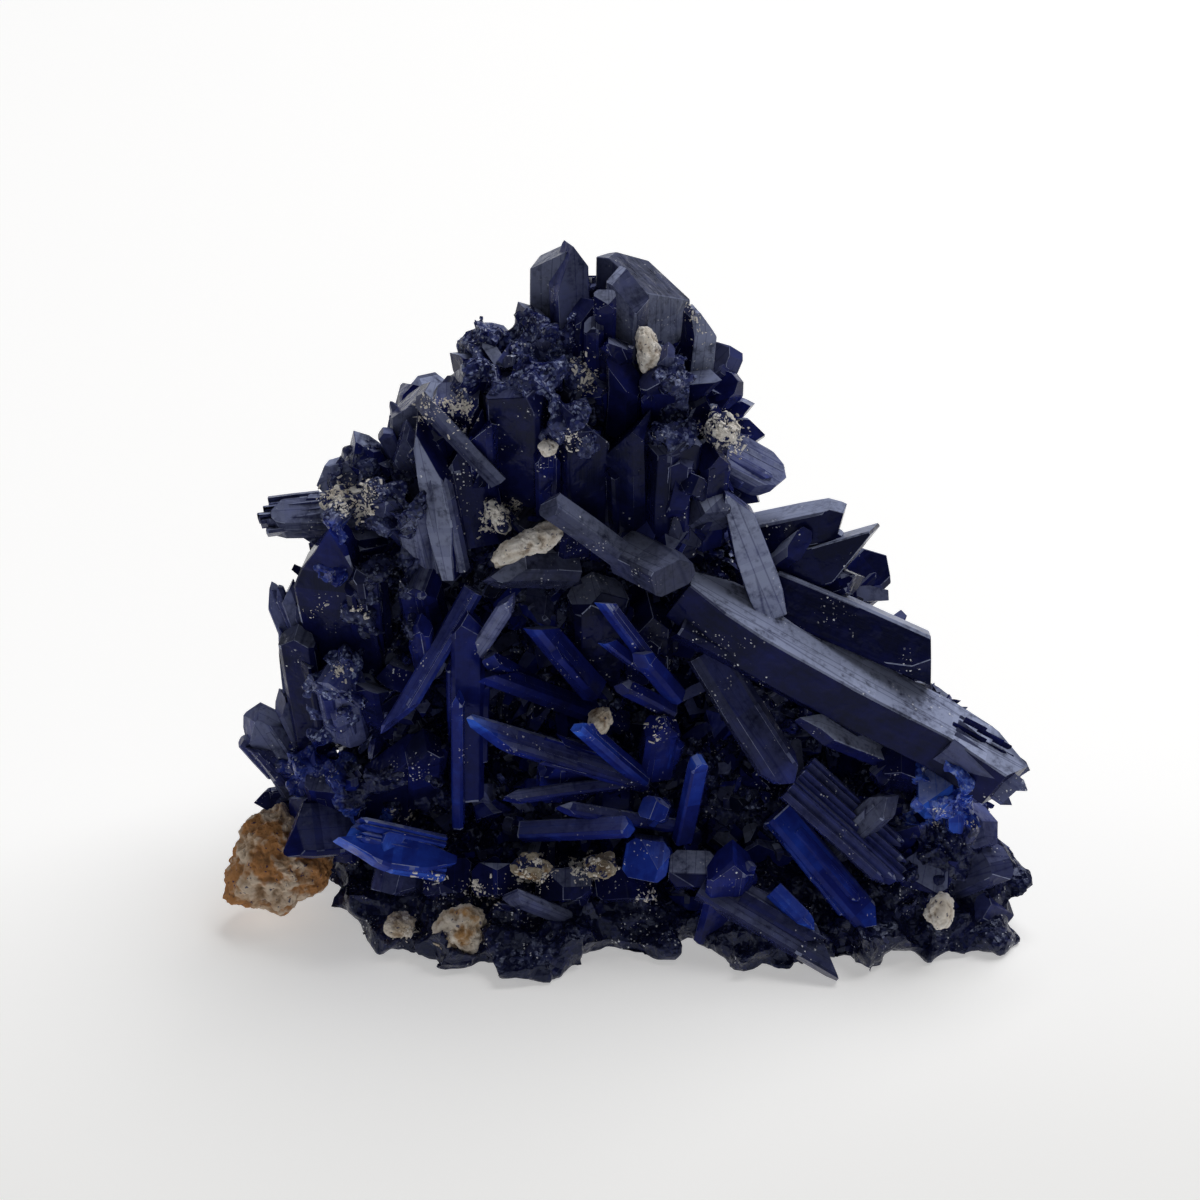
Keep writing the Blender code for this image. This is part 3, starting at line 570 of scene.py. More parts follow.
def crystal_between(start, finish, width, thick, facing, end, blue, frost_and_sheen, tip_blue=None, corner=0.24,
                    outline=None, clean=False, pale=None, shine=0.8):
    """One crystal between two points. An outline gives rows of (share of the length from the tip, left half
    width, right half width), in steps, for one that isn't the same width all along. A clean one has no
    ledges. Its pale share, real frost together with painted sheen, lies on the side that looks the pale way,
    or else on its broad face."""
    along, right, broad = axes_of(start, finish, facing)
    length = (finish - start).length / STEP
    flatness = max(0.3, round(thick / width, 1))
    habit = chance.choice(CLEAN_HABITS) if clean else chance.randrange(HABITS)
    form, neck = crystal_form(end, flatness, habit, corner, 7 if outline else 0)
    mesh = form.copy()
    mesh.flip_normals()  # the turn below mirrors the form
    shape = numbers(mesh.vertices, "co", 3)
    tip_part = min(neck * width, 0.8 * length)
    rise = np.where(
        shape[:, 2] >= -neck,
        shape[:, 2] / neck * tip_part,
        -tip_part + (shape[:, 2] + neck) * (length - tip_part),
    )
    share = -rise / length
    lean = [chance.uniform(-0.05, 0.05) * width for _ in range(2)]
    skew = chance.uniform(-0.16, 0.16)
    swell = 0.97 + chance.uniform(-0.05, 0.1) * (share - 0.3)
    wave = np.sin(share * math.pi)
    if outline:
        stations, *halves = zip(*outline)
        to_left, to_right = (np.interp(share, stations, half) for half in halves)
        aside = shape[:, 0] * 2 * np.where(shape[:, 0] < 0, to_left, to_right)
    else:
        aside = (shape[:, 0] + skew * shape[:, 1]) * width * swell + lean[0] * wave
    placed = np.stack([aside, shape[:, 1] * thick / flatness * swell + lean[1] * wave, rise], 1)
    mesh.vertices.foreach_set("co", placed.ravel())
    mesh.update()
    grain_map(mesh)
    ramp = np.clip((share - 0.02) / max(0.05, tip_part / length), 0, 1)
    tip_value = blue if tip_blue is None else tip_blue
    mesh.transform(Matrix.Scale(STEP, 4))
    turn = Matrix((right, broad, along)).transposed().to_4x4()
    mesh.transform(turn @ Matrix.Rotation(math.radians(chance.uniform(-3, 3)), 4, "Z"))
    mesh.transform(Matrix.Translation(finish))
    mesh.update()
    pale_side = toward(*pale) if pale else broad
    tone_of(mesh, tip_value + (blue - tip_value) * ramp, frost_and_sheen, chance.random(), shine, pale_side)
    thing = bpy.data.objects.new("crystal", mesh)
    bpy.context.scene.collection.objects.link(thing)
    cut_flat(thing, OFF_GROUND)
    return thing


def laths(root, tip, width, thick, count, ragged, seed, face=(0, 0, 1), end=RIGHT_CUT, blue=0.15, frost_and_sheen=0.0):
    """A blade split into narrow parallel crystals of unlike length; ragged is the most one is cut short."""
    luck = random.Random(seed)
    start, finish, facing = spot(*root), spot(*tip), toward(*face)
    along, right, broad = axes_of(start, finish, facing)
    pitch = width / count
    made = []
    for place in range(count):
        aside = right * pitch * (place - (count - 1) / 2) + broad * luck.uniform(-0.25, 0.25)
        stop = finish + (aside - along * luck.uniform(0, ragged)) * STEP
        made.append(crystal_between(
            start + aside * STEP, stop, pitch * luck.uniform(1.15, 1.5), thick * luck.uniform(0.75, 1),
            facing, end, blue + luck.uniform(-0.06, 0.06), frost_and_sheen,
        ))
    return made


def glassy_azurite():
    """Crystal faces: striated from root to tip, glassy, paled in patches by frost and painted sheen, and
    flecked with clay dust, its whitish specks partly painted glints.
    """
    paint = Paint("azurite_glassy", IOR=1.36, Specular_IOR_Level=0.2, Specular_Tint=SHEEN)
    place = paint.place()
    blue, frost_and_sheen, own = paint.node("Attribute", attribute_name="tone").parts()
    around, length, _ = paint.node("UVMap", uv_map="grain").parts("SeparateXYZ")
    coarse_place = paint.node("CombineXYZ", {0: around * 1.6, 1: length * 0.06, 2: own * 40})
    fine_place = paint.node("CombineXYZ", {0: around * 7, 1: length * 0.25, 2: own * 90})
    strokes = paint.noise(coarse_place, 1, 4, 0.6)
    hairs = paint.noise(fine_place, 1, 3, 0.6)
    patches = paint.noise(place, 0.0018, 3)
    mottle = paint.noise(place, 0.0005, 3, 0.65)
    depth = blue + 0.06 + (patches - 0.5) * 0.6 + (strokes - 0.5) * 0.2 + (mottle - 0.5) * 0.2
    cracks = paint.cells(coarse_place, 1 / 0.35, feature="DISTANCE_TO_EDGE").within(0.0, 0.03)
    # Pale patches: real frost and wear together with painted sheen from the light above.
    wear_and_sheen = frost_and_sheen * (strokes * 0.15 + patches * 0.45 + mottle * 0.5).within(0.3, 0.6) * (0.5 + cracks * 0.5)
    body = paint.node("ValToRGB", {0: depth}, stops=AZURITE_DEPTHS)
    frost_and_painted_sheen_colour = paint.mix(wear_and_sheen, body, (0.39, 0.44, 0.64, 1))
    dust_and_glint = dust_with_glints_on(paint, place, 0.55)
    chipped = paint.cells(place, 0.0009, feature="SMOOTH_F1") * patches.within(0.45, 0.6)
    height = strokes * 0.5 + hairs * 0.25 + mottle * 0.2 + chipped * 1.6 + dust_and_glint * 0.5
    return paint.feed(
        Base_Color=paint.mix(dust_and_glint, frost_and_painted_sheen_colour, DUST_AND_GLINT),
        Roughness=0.07 + mottle * 0.14 + hairs * 0.1 + frost_and_sheen * 0.25 + dust_and_glint * 0.4,
        Normal=paint.bump(0.35, 0.00012, height),
    )


GLASSY = glassy_azurite()


def crystal_piece(name, groups):
    """Joins crystals, and lists of crystals, into one piece."""
    crystals = [thing for group in groups for thing in (group if isinstance(group, list) else [group])]
    part_of_crystals(made_one(crystals, name), GLASSY)


crystal_piece("peak_blocks", [
    lone((-4.9, 60, 25), (-4.6, 75.2, 25), 4, 3.4, (-0.35, 0.1, 1), ((180, 34, -1),), 0.05, 0.35),
    lone(
        (-2.6, 62, 21.6), (-3.2, 75.1, 23.4), 3.4, 2.6, (0.3, 0, 1), ((180, 68, -0.1), (0, 56, 0)), 0.22,
        0.25,
    ),
    crystal((-2.4, 60, 20.6), (-1.4, 70.2, 20.6), 2.6, 2.4, (0.5, 0, 1), LEFT_CUT, 0.2),
    lone(
        (4.4, 56, 25), (4.4, 74.6, 25), 6.8, 6.6, (1, 0, 1), ((45, 34, -0.85), (300, 14, -0.4)), 0.05, 0.55,
        corner=0.04,
    ),
    lone((2.6, 64, 21.4), (2.8, 71, 19.2), 4, 3, (-0.5, 0, 1), ((0, 34, -0.6),), 0.06, 0.4),
    crystal((0.3, 61, 22), (0.5, 69.4, 16.8), 2.2, 2, end=SQUARE, blue=0.1),
    crystal((1.5, 61, 21), (1.4, 66, 16), 3, 3, (0.2, 0.3, 1), RIGHT_CUT, 0.1),
    crystal((-0.6, 62, 20), (-0.6, 67, 16.8), 2, 2, end=ROOF_LOW, blue=0.1),
    lone((9, 60, 23), (9.9, 68.4, 21), 2.6, 2.6, (0.4, 0, 1), ((0, 60, -0.2),), 0.1, 0.7),
    crystal((6.2, 60, 20), (6.2, 65, 16.5), 2.2, 2, end=LEFT_CUT, blue=0.2, frost_and_sheen=0.4),
    crystal((6, 57, 19), (5.6, 62, 15.5), 4, 2.4, end=ROOF_LOW),
    crystal((2.2, 57, 19), (2.4, 63.5, 15.5), 3.4, 3, (-0.3, 0, 1), RIGHT_CUT),
])

# Right edge of the peak. Stubby crystals and blades step down it, the lower ones pointing more to the right.
# Single crystals of azurite; the ends of the broadest blades are rounded by several small faces.

crystal_piece("peak_right_blades", [
    crystal((7, 61, 24), (10.2, 67, 23), 3, 2.6),
    crystal((8, 60, 24), (13.6, 65.2, 23), 3.8, 2, (-0.3, 0.5, 1), ROUND, 0.25, 0.3),
    crystal((8, 60, 23), (14.4, 61.6, 21), 4, 2.4, (0, 0.2, 1), ROUND, 0.2),
    crystal((10, 58.5, 23), (15.2, 59.4, 22), 2, 1.8, blue=0.3),
    crystal((10, 57, 23), (16.5, 56.4, 22.5), 3.2, 2, blue=0.3),
    crystal((8, 55, 21), (10.2, 60.6, 19), 3.4, 3, (0.3, 0, 1), blue=0.1),
    crystal((10, 56, 20), (18.3, 51.6, 20), 4.8, 2.2, (0.2, 0.5, 1), ROUND, 0.35, 0.5),
    crystal((11, 53, 22), (16, 49.8, 20), 3, 2, blue=0.25),
    crystal((5, 57, 22), (11, 63, 18.4), 3.4, 2.6, (0.4, 0.2, 1), LEFT_CUT, 0.15),
    crystal((6, 51, 20), (12, 55.4, 16.8), 3.4, 2.8, (0.3, 0.2, 1)),
])

# Left edge of the peak. Blocky crystals step down it over the rough granular face that fills the side of the
# peak. Azurite, a little bluer than the blocks on top, with a thin frost and a painted sheen on most of them.

crystal_piece("peak_left_blocks", [
    crystal((-4, 63, 24), (-7.6, 68.9, 22.5), 3, 2.6, blue=0.25, frost_and_sheen=0.3),
    crystal((-6, 61, 23), (-11.8, 66.8, 21.5), 3.6, 2.8, blue=0.2, frost_and_sheen=0.3),
    crystal((-7, 59, 22), (-14.2, 64.2, 20.5), 3.6, 2.8, blue=0.2),
    crystal((-8, 57, 21), (-14.9, 61.4, 19.5), 3.8, 2.8, (-0.3, 0, 1), SQUARE, 0.15, 0.2, shine=0.3),
    crystal((-5, 63, 22), (-5.8, 67.2, 19), 3.2, 2.8, (-0.3, 0.3, 1), LEFT_CUT, 0.3, 0.3),
    crystal((-3, 60, 21), (-2.4, 64, 18), 3.2, 2.6, (0.3, 0.3, 1), RIGHT_CUT, 0.2),
    crystal((-8, 61, 21), (-9.4, 64.4, 18.8), 3.2, 2.6, (-0.4, 0.3, 1), blue=0.35, frost_and_sheen=0.3),
])

# Upper face. Big dark upright blocks side by side below the peak, their fronts broad, flat and nearly black.
# Azurite crystals, the big ones about four millimetres across.

crystal_piece("upper_blocks", [
    lone(
        (-8, 51, 19), (-8, 61.8, 14.8), 5.8, 4.4, (-0.25, 0.1, 1), ((180, 20, -1),), 0.08, corner=0.1,
        shine=0.3,
    ),
    lone((-2.2, 47, 17), (-2.2, 60.2, 14.2), 4.8, 5, (0.3, 0.1, 1), RIGHT_CUT, 0.0, corner=0.1, shine=0.3),
    crystal((2.6, 47, 17), (2.4, 58.6, 14.6), 5, 4, (-0.3, 0.1, 1), LEFT_CUT, 0.0, shine=0.4),
    crystal((7, 45, 16), (7.4, 56.6, 14.6), 5.2, 4.6, (0.4, 0.1, 1), ROOF_LOW, 0.0, shine=0.4),
    crystal((-11.5, 49, 18), (-11.8, 58.4, 14.8), 3.6, 3, (-0.3, 0, 1), LEFT_CUT, 0.2),
    crystal((10.5, 46, 17), (11.2, 55, 14.5), 3.4, 3, (0.4, 0, 1), blue=0.1),
    crystal((-5.2, 49, 16), (-5.2, 56, 13), 2.6, 2.4, (0.1, 0, 1), ROOF_SHARP, 0.2),
])

# Left shoulder. A long pale blade and its partner meet at a corner on top of it, with blocks and a blade that
# sticks out level at the left, its end toothed by unlike laths. Azurite, finely striated and frosted; the
# pale of the blades is partly a painted sheen.

crystal_piece("shoulder_blades", [
    crystal(
        (-17.5, 53, 24), (-17.9, 61.3, 23), 5.6, 4, (-0.2, 0, 1), ((180, 40, -0.3), (0, 25, 0.3)), 0.12, 0.3,
    ),
    lone(
        (-14.8, 42.4, 13), (-18, 59.8, 15.5), 3.4, 2.6, (-0.45, 0, 1), RIGHT_STEEP, 0.14, 0.62, corner=0.1,
        outline=(
            (0, 0.3, 0.3), (0.15, 0.6, 1.1), (0.4, 1.1, 1.7), (0.7, 1.1, 1.8), (0.85, 0.9, 1.2),
            (1, 0.5, 0.9),
        ),
    ),
    laths((-14.6, 43, 13), (-16.6, 53, 13.8), 3.2, 2, 4, 4, 71, (-0.45, 0, 1), LEFT_STEEP, 0.14, 0.4),
    crystal((-10, 51.6, 14), (-17.8, 59.8, 15.6), 1.2, 3, (0.5, 0.5, 1), LEFT_CUT, 0.1, 0.5, company=0),
    crystal((-12, 46, 17), (-14.4, 58.6, 16.4), 6, 3, end=LEFT_CUT, blue=0.15),
    crystal((-13.6, 53, 20), (-14.2, 60.2, 17.4), 5, 4, end=SQUARE, blue=0.15),
    crystal((-20, 54, 24), (-28.4, 51.4, 23.4), 4.6, 3.6, (0, 0.3, 1), ((0, 40, 0), (180, 25, 0)), 0.15, 0.3),
    crystal((-20, 50, 23), (-24.4, 56, 21), 3.6, 3, (-0.3, 0, 1), blue=0.2),
    crystal((-17, 50, 21), (-20.8, 57.6, 20), 3.6, 3.2, (-0.3, 0, 1), LEFT_CUT, 0.2, 0.2),
    crystal((-17.4, 43, 17), (-18.6, 50, 13.6), 3.4, 3, (-0.3, 0.2, 1), LEFT_CUT, 0.2, 0.4),
    crystal((-19, 47, 19), (-22.6, 50.6, 15.6), 3.6, 3, (-0.4, 0.4, 1), blue=0.25, frost_and_sheen=0.2),
    crystal((-19, 49.2, 22), (-33, 48.3, 21), 4.6, 3.4, (0, 0.45, 1), SQUARE, 0.12, 0.3, outline=(
        (0, 1.6, 1.1), (0.1, 2.1, 1.7), (0.5, 2.4, 2.2), (1, 2.2, 2.6),
    )),
    laths((-28, 49, 21), (-34.7, 48.2, 20.8), 3.8, 2.6, 7, 1.7, 21, (0, 0.45, 1), SQUARE, 0.2, 0.3),
    crystal((-22, 46.5, 21), (-27.4, 45.8, 18.4), 3, 2.4, (0, 0.5, 1), LEFT_CUT),
])

# Left side. A big blue blade, a fan of laths beside it and slabs below, stacked like tiles down to the foot.
# Azurite; the laths, the broken upper end of the big blade and a few blocks low down are the brightest blue.

crystal_piece("left_slabs", [
    lone(
        (-25, 31, 19.4), (-26.5, 47.8, 15.6), 8, 3, (-0.25, 0.1, 1), ((180, 30, 0), (0, 30, 0)), 0.08, 0, 0.5,
        outline=(
            (0, 0.2, 0.5), (0.12, 1.6, 1.6), (0.32, 4.6, 2.6), (0.5, 4.4, 3.4), (0.75, 4, 3.8), (1, 3.4, 3.6),
        ),
    ),
    crystal((-23, 35, 19), (-23.6, 44.6, 14.8), 4.2, 3.4, (0.4, 0.2, 1), RIGHT_CUT, 0.0),
    crystal((-29.6, 31, 21), (-33.9, 42.6, 20), 1.6, 1.4, (-0.2, 0, 1), LEFT_STEEP, 0.3, 0.3),
    crystal((-28.6, 31, 20), (-32.9, 42.2, 19.2), 1.1, 1, (-0.2, 0, 1), LEFT_STEEP, 0.35, 0.2, company=0),
    crystal((-27.6, 32, 19.6), (-31.2, 40.4, 18.6), 1.1, 1, (-0.2, 0, 1), LEFT_STEEP, 0.3, 0.2, company=0),
    crystal((-28.6, 29, 19.6), (-33.2, 37.6, 19.6), 1.2, 1, (-0.2, 0, 1), LEFT_STEEP, 0.3, 0.25, company=0),
    crystal((-28.4, 31, 20), (-31.8, 41.8, 19), 1.8, 1.4, (-0.2, 0, 1), LEFT_CUT, 0.3, 0.3),
    crystal((-29.6, 30, 20), (-33.4, 39.2, 20.5), 1.8, 1.4, (-0.2, 0, 1), LEFT_STEEP, 0.3, 0.35),
    crystal((-29.6, 27, 20), (-33.6, 34.4, 20.5), 2, 1.4, (-0.2, 0, 1), LEFT_STEEP, 0.25, 0.3),
    crystal((-29, 24, 19), (-30.6, 36.8, 16.6), 4, 2.6, (-0.3, 0, 1), ROOF_LOW, 0.05),
    crystal((-17, 36, 18), (-18.2, 42.4, 13.6), 4, 3.6, (-0.2, 0.3, 1), ROUND, 0.2),
    crystal((-25.6, 27, 18), (-26.4, 33.4, 13.4), 5, 4.4, (-0.2, 0.4, 1), ROUND, 0.4, 0.4),
    crystal((-22, 27, 18), (-22.8, 32.4, 13), 3.6, 3, (0.3, 0.3, 1), RIGHT_CUT, 0.1),
    crystal(
        (-31, 21, 21), (-35.6, 28.6, 20), 4.4, 3, (-0.3, 0.2, 1), ((180, 10, -1), (0, 60, 0.2)), 0.25, 0.4,
    ),
    crystal((-29, 22, 21), (-32.4, 30.4, 19.4), 3, 2.4, (0.3, 0, 1), blue=0.25, frost_and_sheen=0.3),
    crystal((-27, 20.4, 21), (-35.8, 18.9, 20.6), 2.8, 2, (0, 0.3, 1), blue=0.15),
    crystal((-28, 17, 18), (-30.8, 24.4, 15.6), 3.6, 3, (-0.3, 0.2, 1), LEFT_CUT, 0.55, 0.1),
    crystal((-24, 18, 17), (-26.2, 23.4, 12.8), 4, 3.4, (-0.2, 0.4, 1), RIGHT_CUT, 0.45),
    crystal((-23, 15, 16), (-21.6, 25.8, 11.8), 6.6, 3.4, (0.1, 0.1, 1), LEFT_CUT, 0.15),
    crystal((-27, 14, 17), (-27.8, 21.6, 13.4), 4.6, 3, (-0.2, 0.1, 1), SQUARE, 0.25),
    crystal(
        (-23, 17, 13.2), (-32.6, 16.6, 9.9), 6, 1.6, (-0.1, 0.25, 1), ((0, 26, -1),), 0.2, company=0,
        outline=((0, 2.6, 3), (0.3, 3, 2.9), (1, 2.6, 2.4)),
    ),
    crystal((-25, 16, 18), (-31, 19.6, 15.4), 4, 3, (-0.2, 0.3, 1), ROOF_LOW, 0.2),
    crystal((-18, 20, 15), (-17.6, 26, 11), 4, 3, (0.2, 0.1, 1), blue=0.15),
])

# Middle. The grey six-sided prism that lies across the middle, the blunt one beside it and the dark crystal
# that carries the clay wedge. Azurite, clean-faced.

crystal_piece("middle_prisms", [
    crystal(
        (-3, 43, 15.4), (-11.2, 43, 10.8), 3.6, 4.4, (0, 0.3, 1), ((0, 58, -0.5), (180, 40, 0.5)), 0.0, 0.15,
        company=0,
    ),
    crystal((3, 43.8, 12.8), (-5.2, 49.6, 10.4), 2.8, 2.6, (0.4, 0.6, 1), ROOF_LOW, 0.1, 0.35, company=0),
    lone((2.4, 44.8, 13.8), (7.8, 42, 8.8), 4.6, 3.8, (0.2, 0.7, 1), ((0, 18, -1),), 0.05, 0.3, corner=0.16),
    crystal((-0.4, 33, 18), (-0.2, 41.6, 15), 6, 4, (0.2, -0.2, 1), ROOF_LOW, 0.0),
    crystal((4.8, 33, 17), (5, 39.6, 14.6), 5, 4, (0.3, -0.2, 1), blue=0.0),
    crystal((-3, 45, 16), (-2.4, 48.6, 12.6), 4, 3, (0.2, 0.3, 1), blue=0.05),
])

# Crossing laths. Long thin laths that cross in front of the left of the hollow, thin enough to show their
# blue. Azurite, striated all along.

crystal_piece("crossing_laths", [
    crystal((-12.6, 41, 13.4), (-21.5, 26, 8.4), 2, 1.6, (-0.2, 0.3, 1), LEFT_STEEP, 0.45, 0.08),
    crystal((-13, 34, 12.6), (-8.6, 40.4, 9.6), 1.8, 1.4, (0.2, 0.2, 1), ROOF_SHARP, 0.3, 0.4),
    crystal((-13.6, 20, 13.4), (-13.2, 39, 12), 3.6, 2.4, (0.2, 0, 1), blue=0.35),
    crystal((-14.4, 17, 11.4), (-14.2, 30.8, 9.4), 1.2, 1.4, (-0.2, 0, 1), ROOF_SHARP, 0.5),
    crystal((-17.4, 33, 14), (-18, 38, 11), 2.4, 2, (-0.3, 0, 1), blue=0.3),
])

# Hollow blades. Short blades that stand and lie across the front hollow, royal blue where the light comes
# through them and azure on their broken ends. Azurite, most of them one to two millimetres thick.

crystal_piece("hollow_blades", [
    crystal((7.4, 30.6, 12.6), (0.1, 40.3, 9.4), 1.6, 1.5, (0.4, 0.3, 1), RIGHT_CUT, 0.42, 0, 0.78),
    crystal((4.6, 33, 12.8), (0.2, 36.4, 9.8), 1.6, 1.4, (0.4, 0.3, 1), RIGHT_CUT, 0.4, 0, 0.8),
    crystal((7.6, 30.4, 13), (4, 34.6, 9.2), 2, 2, (0.4, 0.3, 1), blue=0.45, tip_blue=0.6),
    crystal((7.2, 28.8, 12.6), (1.9, 31.6, 9.4), 1.6, 1.6, (0.3, 0.4, 1), blue=0.3),
    crystal((-0.6, 31, 14.4), (-6.6, 38.2, 11.2), 2.8, 2.2, (0.3, 0.4, 1), RIGHT_CUT, 0.3, 0, 0.55),
    crystal((2.4, 27.4, 20), (-11.9, 33, 9.8), 2.2, 1.8, (0.1, 0.5, 1), RIGHT_STEEP, 0.3, 0, 0.45),
    crystal((-6, 31, 17), (-11.2, 34.2, 10.4), 1.8, 1.5, (0.1, 0.5, 1), blue=0.4, tip_blue=0.6),
    crystal(
        (4.6, 21.8, 12.6), (-13.5, 27.4, 8.2), 2.9, 1.9, (0.1, 0.5, 1), ((180, 66, -0.6), (0, 40, 0.6)), 0.3,
        0, 0.9,
    ),
    crystal(
        (4.4, 21.8, 12), (-2.4, 27.9, 8.2), 2, 1.7, (0.4, 0.5, 1), ((0, 60, -0.3), (180, 30, 0.3)), 0.55, 0,
        0.85,
    ),
    crystal((3.6, 21.6, 12), (-9.7, 20, 8.2), 1.4, 1.5, (0, 0.4, 1), ROOF_SHARP, 0.35),
    crystal((-8, 16.4, 11.8), (3.2, 17.2, 6.8), 2, 1.6, (0, 0.4, 1), ROOF_LOW, 0.42, 0, 0.7),
    crystal((7.6, 17, 11.6), (-4.2, 19.2, 8), 1.4, 1.4, (0, 0.4, 1), ROOF_SHARP, 0.35),
    crystal((4.6, 14, 12), (4.8, 13.6, 5.6), 4.6, 4.2, (0.2, 1, 0), ((90, 20, -1), (0, 25, -1)), 0.68),
    crystal((6.2, 18, 15), (5.4, 19, 8), 3, 2.4, (0.3, 1, 0), ROOF_LOW, 0.6),
    crystal((8.4, 15.6, 11), (10, 24.2, 7.6), 2, 1.5, (0.4, 0, 1), ROUND, 0.5, 0, 0.78),
    crystal((5.6, 22.6, 13.4), (6.4, 28.4, 10.4), 3.6, 2.6, (0.2, 0.2, 1), blue=0.35),
    crystal((-3.6, 20.6, 14), (-3.2, 25, 11), 5, 3, (0.1, 0.2, 1), ROOF_LOW, 0.3),
])

# Great blade. The longest crystal of the piece slopes down to the right, pale with wear and split at its end,
# with another pale blade across its root and dark prisms fanning out behind it; the pale of both blades and
# of the prisms' upper sides is partly a painted sheen of the light above. Azurite, up to 30 mm long.

crystal_piece("great_blades", [
    lone(
        (17.4, 38.6, 14.4), (11.8, 51.9, 15.2), 3.4, 2.4, (-0.1, 0.3, 1), ((0, 62, -0.4), (180, 30, 0.4)),
        0.25, 0.85, outline=(
            (0, 0.1, 0.3), (0.16, 0.6, 1.1), (0.2, 0.7, 1.9), (0.5, 1.5, 1.9), (0.8, 1.8, 1.8), (1, 1.6, 1.2),
        ),
    ),
    lone(
        (8, 40.8, 13.8), (42, 21.7, 10.7), 6.2, 5, (0.15, 0.75, 0.66), ((0, 30, -0.2), (180, 62, 0.3)), 0.06,
        1.0, corner=0.05, outline=(
            (0, 0.2, 2.4), (0.06, 2.4, 3.1), (0.14, 3.4, 2.5), (0.22, 3.6, 2.1), (0.5, 3.0, 2.8),
            (0.76, 3.2, 3.0), (0.88, 2.9, 2.6), (1, 0.8, 1.4),
        ),
    ),
    laths((35, 26.4, 11.3), (43, 20.8, 10.3), 5, 4, 8, 3.4, 4, (0.15, 0.75, 0.66), ROOF_SHARP, 0.2, 0.6),
    # dark slivers that fill the splits in the great blade's end
    *[
        crystal(
            (across, up, 11), (across + reach, up - reach * 0.52, 10.9 - reach * 0.1), wide, 0.7,
            (0.15, 0.75, 0.66), ROOF_SHARP, 0.12, company=0, shine=0,
        )
        for across, up, reach, wide in (
            (35.4, 27.5, 3.4, 0.4), (36.6, 28, 2.2, 0.3), (37.2, 26.3, 3.6, 0.4), (38, 27, 2.6, 0.25),
            (38.8, 24.6, 2.4, 0.35), (39.6, 26, 1.8, 0.35), (39.4, 25.2, 2.2, 0.3),
        )
    ],
    crystal((8, 38, 13.4), (29, 27, 12.2), 4, 3.4, (0.2, 0.4, 1), blue=0.05),
    lone(
        (13.6, 46.2, 20), (24.6, 48.4, 18), 3.4, 4, (0, -0.35, 1), ((0, 30, -0.4), (180, 48, 0.4)), 0.02, 0.8,
        pale=(0, 1, 0.35),
    ),
    crystal((16.6, 45.4, 19), (24.3, 46.6, 17.4), 1.8, 1.6, (0, -0.3, 1), blue=0.2, company=0),
    lone(
        (16.6, 42.2, 18.6), (28, 45.4, 16.2), 4.4, 4, (0, -0.3, 1), ((0, 56, -0.8),), 0.0, 0.8,
        pale=(0, 1, 0.35),
    ),
    crystal((17, 43.4, 18), (20.6, 46.2, 15.4), 2.2, 2, (0, 0.8, 1), RIGHT_CUT, 0.1, 0.8, company=0),
    crystal((18, 39.4, 18), (26, 42.4, 16), 2.8, 2.4, (0, 0.3, 1), blue=0.04),
    lone(
        (17, 41, 17.4), (34.2, 33.6, 14), 5, 5.4, (0.1, -0.3, 1), ((180, 24, -1),), 0.0, 0.8,
        pale=(0, 1, 0.35),
    ),
    lone((28.6, 24.6, 13.4), (19.9, 28.2, 9.4), 3.4, 1.6, (0.1, 0.75, 1), ROOF_SHARP, 0.1, 1.0),
    crystal((24, 27, 17), (34.6, 30.4, 15), 4, 3, (0.1, 0.5, 1), RIGHT_CUT, 0.1),
])

# Right foot. Blades and striped bundles run down to the foot at the right, with broken azure chunks at the
# edge. Azurite; the chunks have the bright blue of a fresh break.

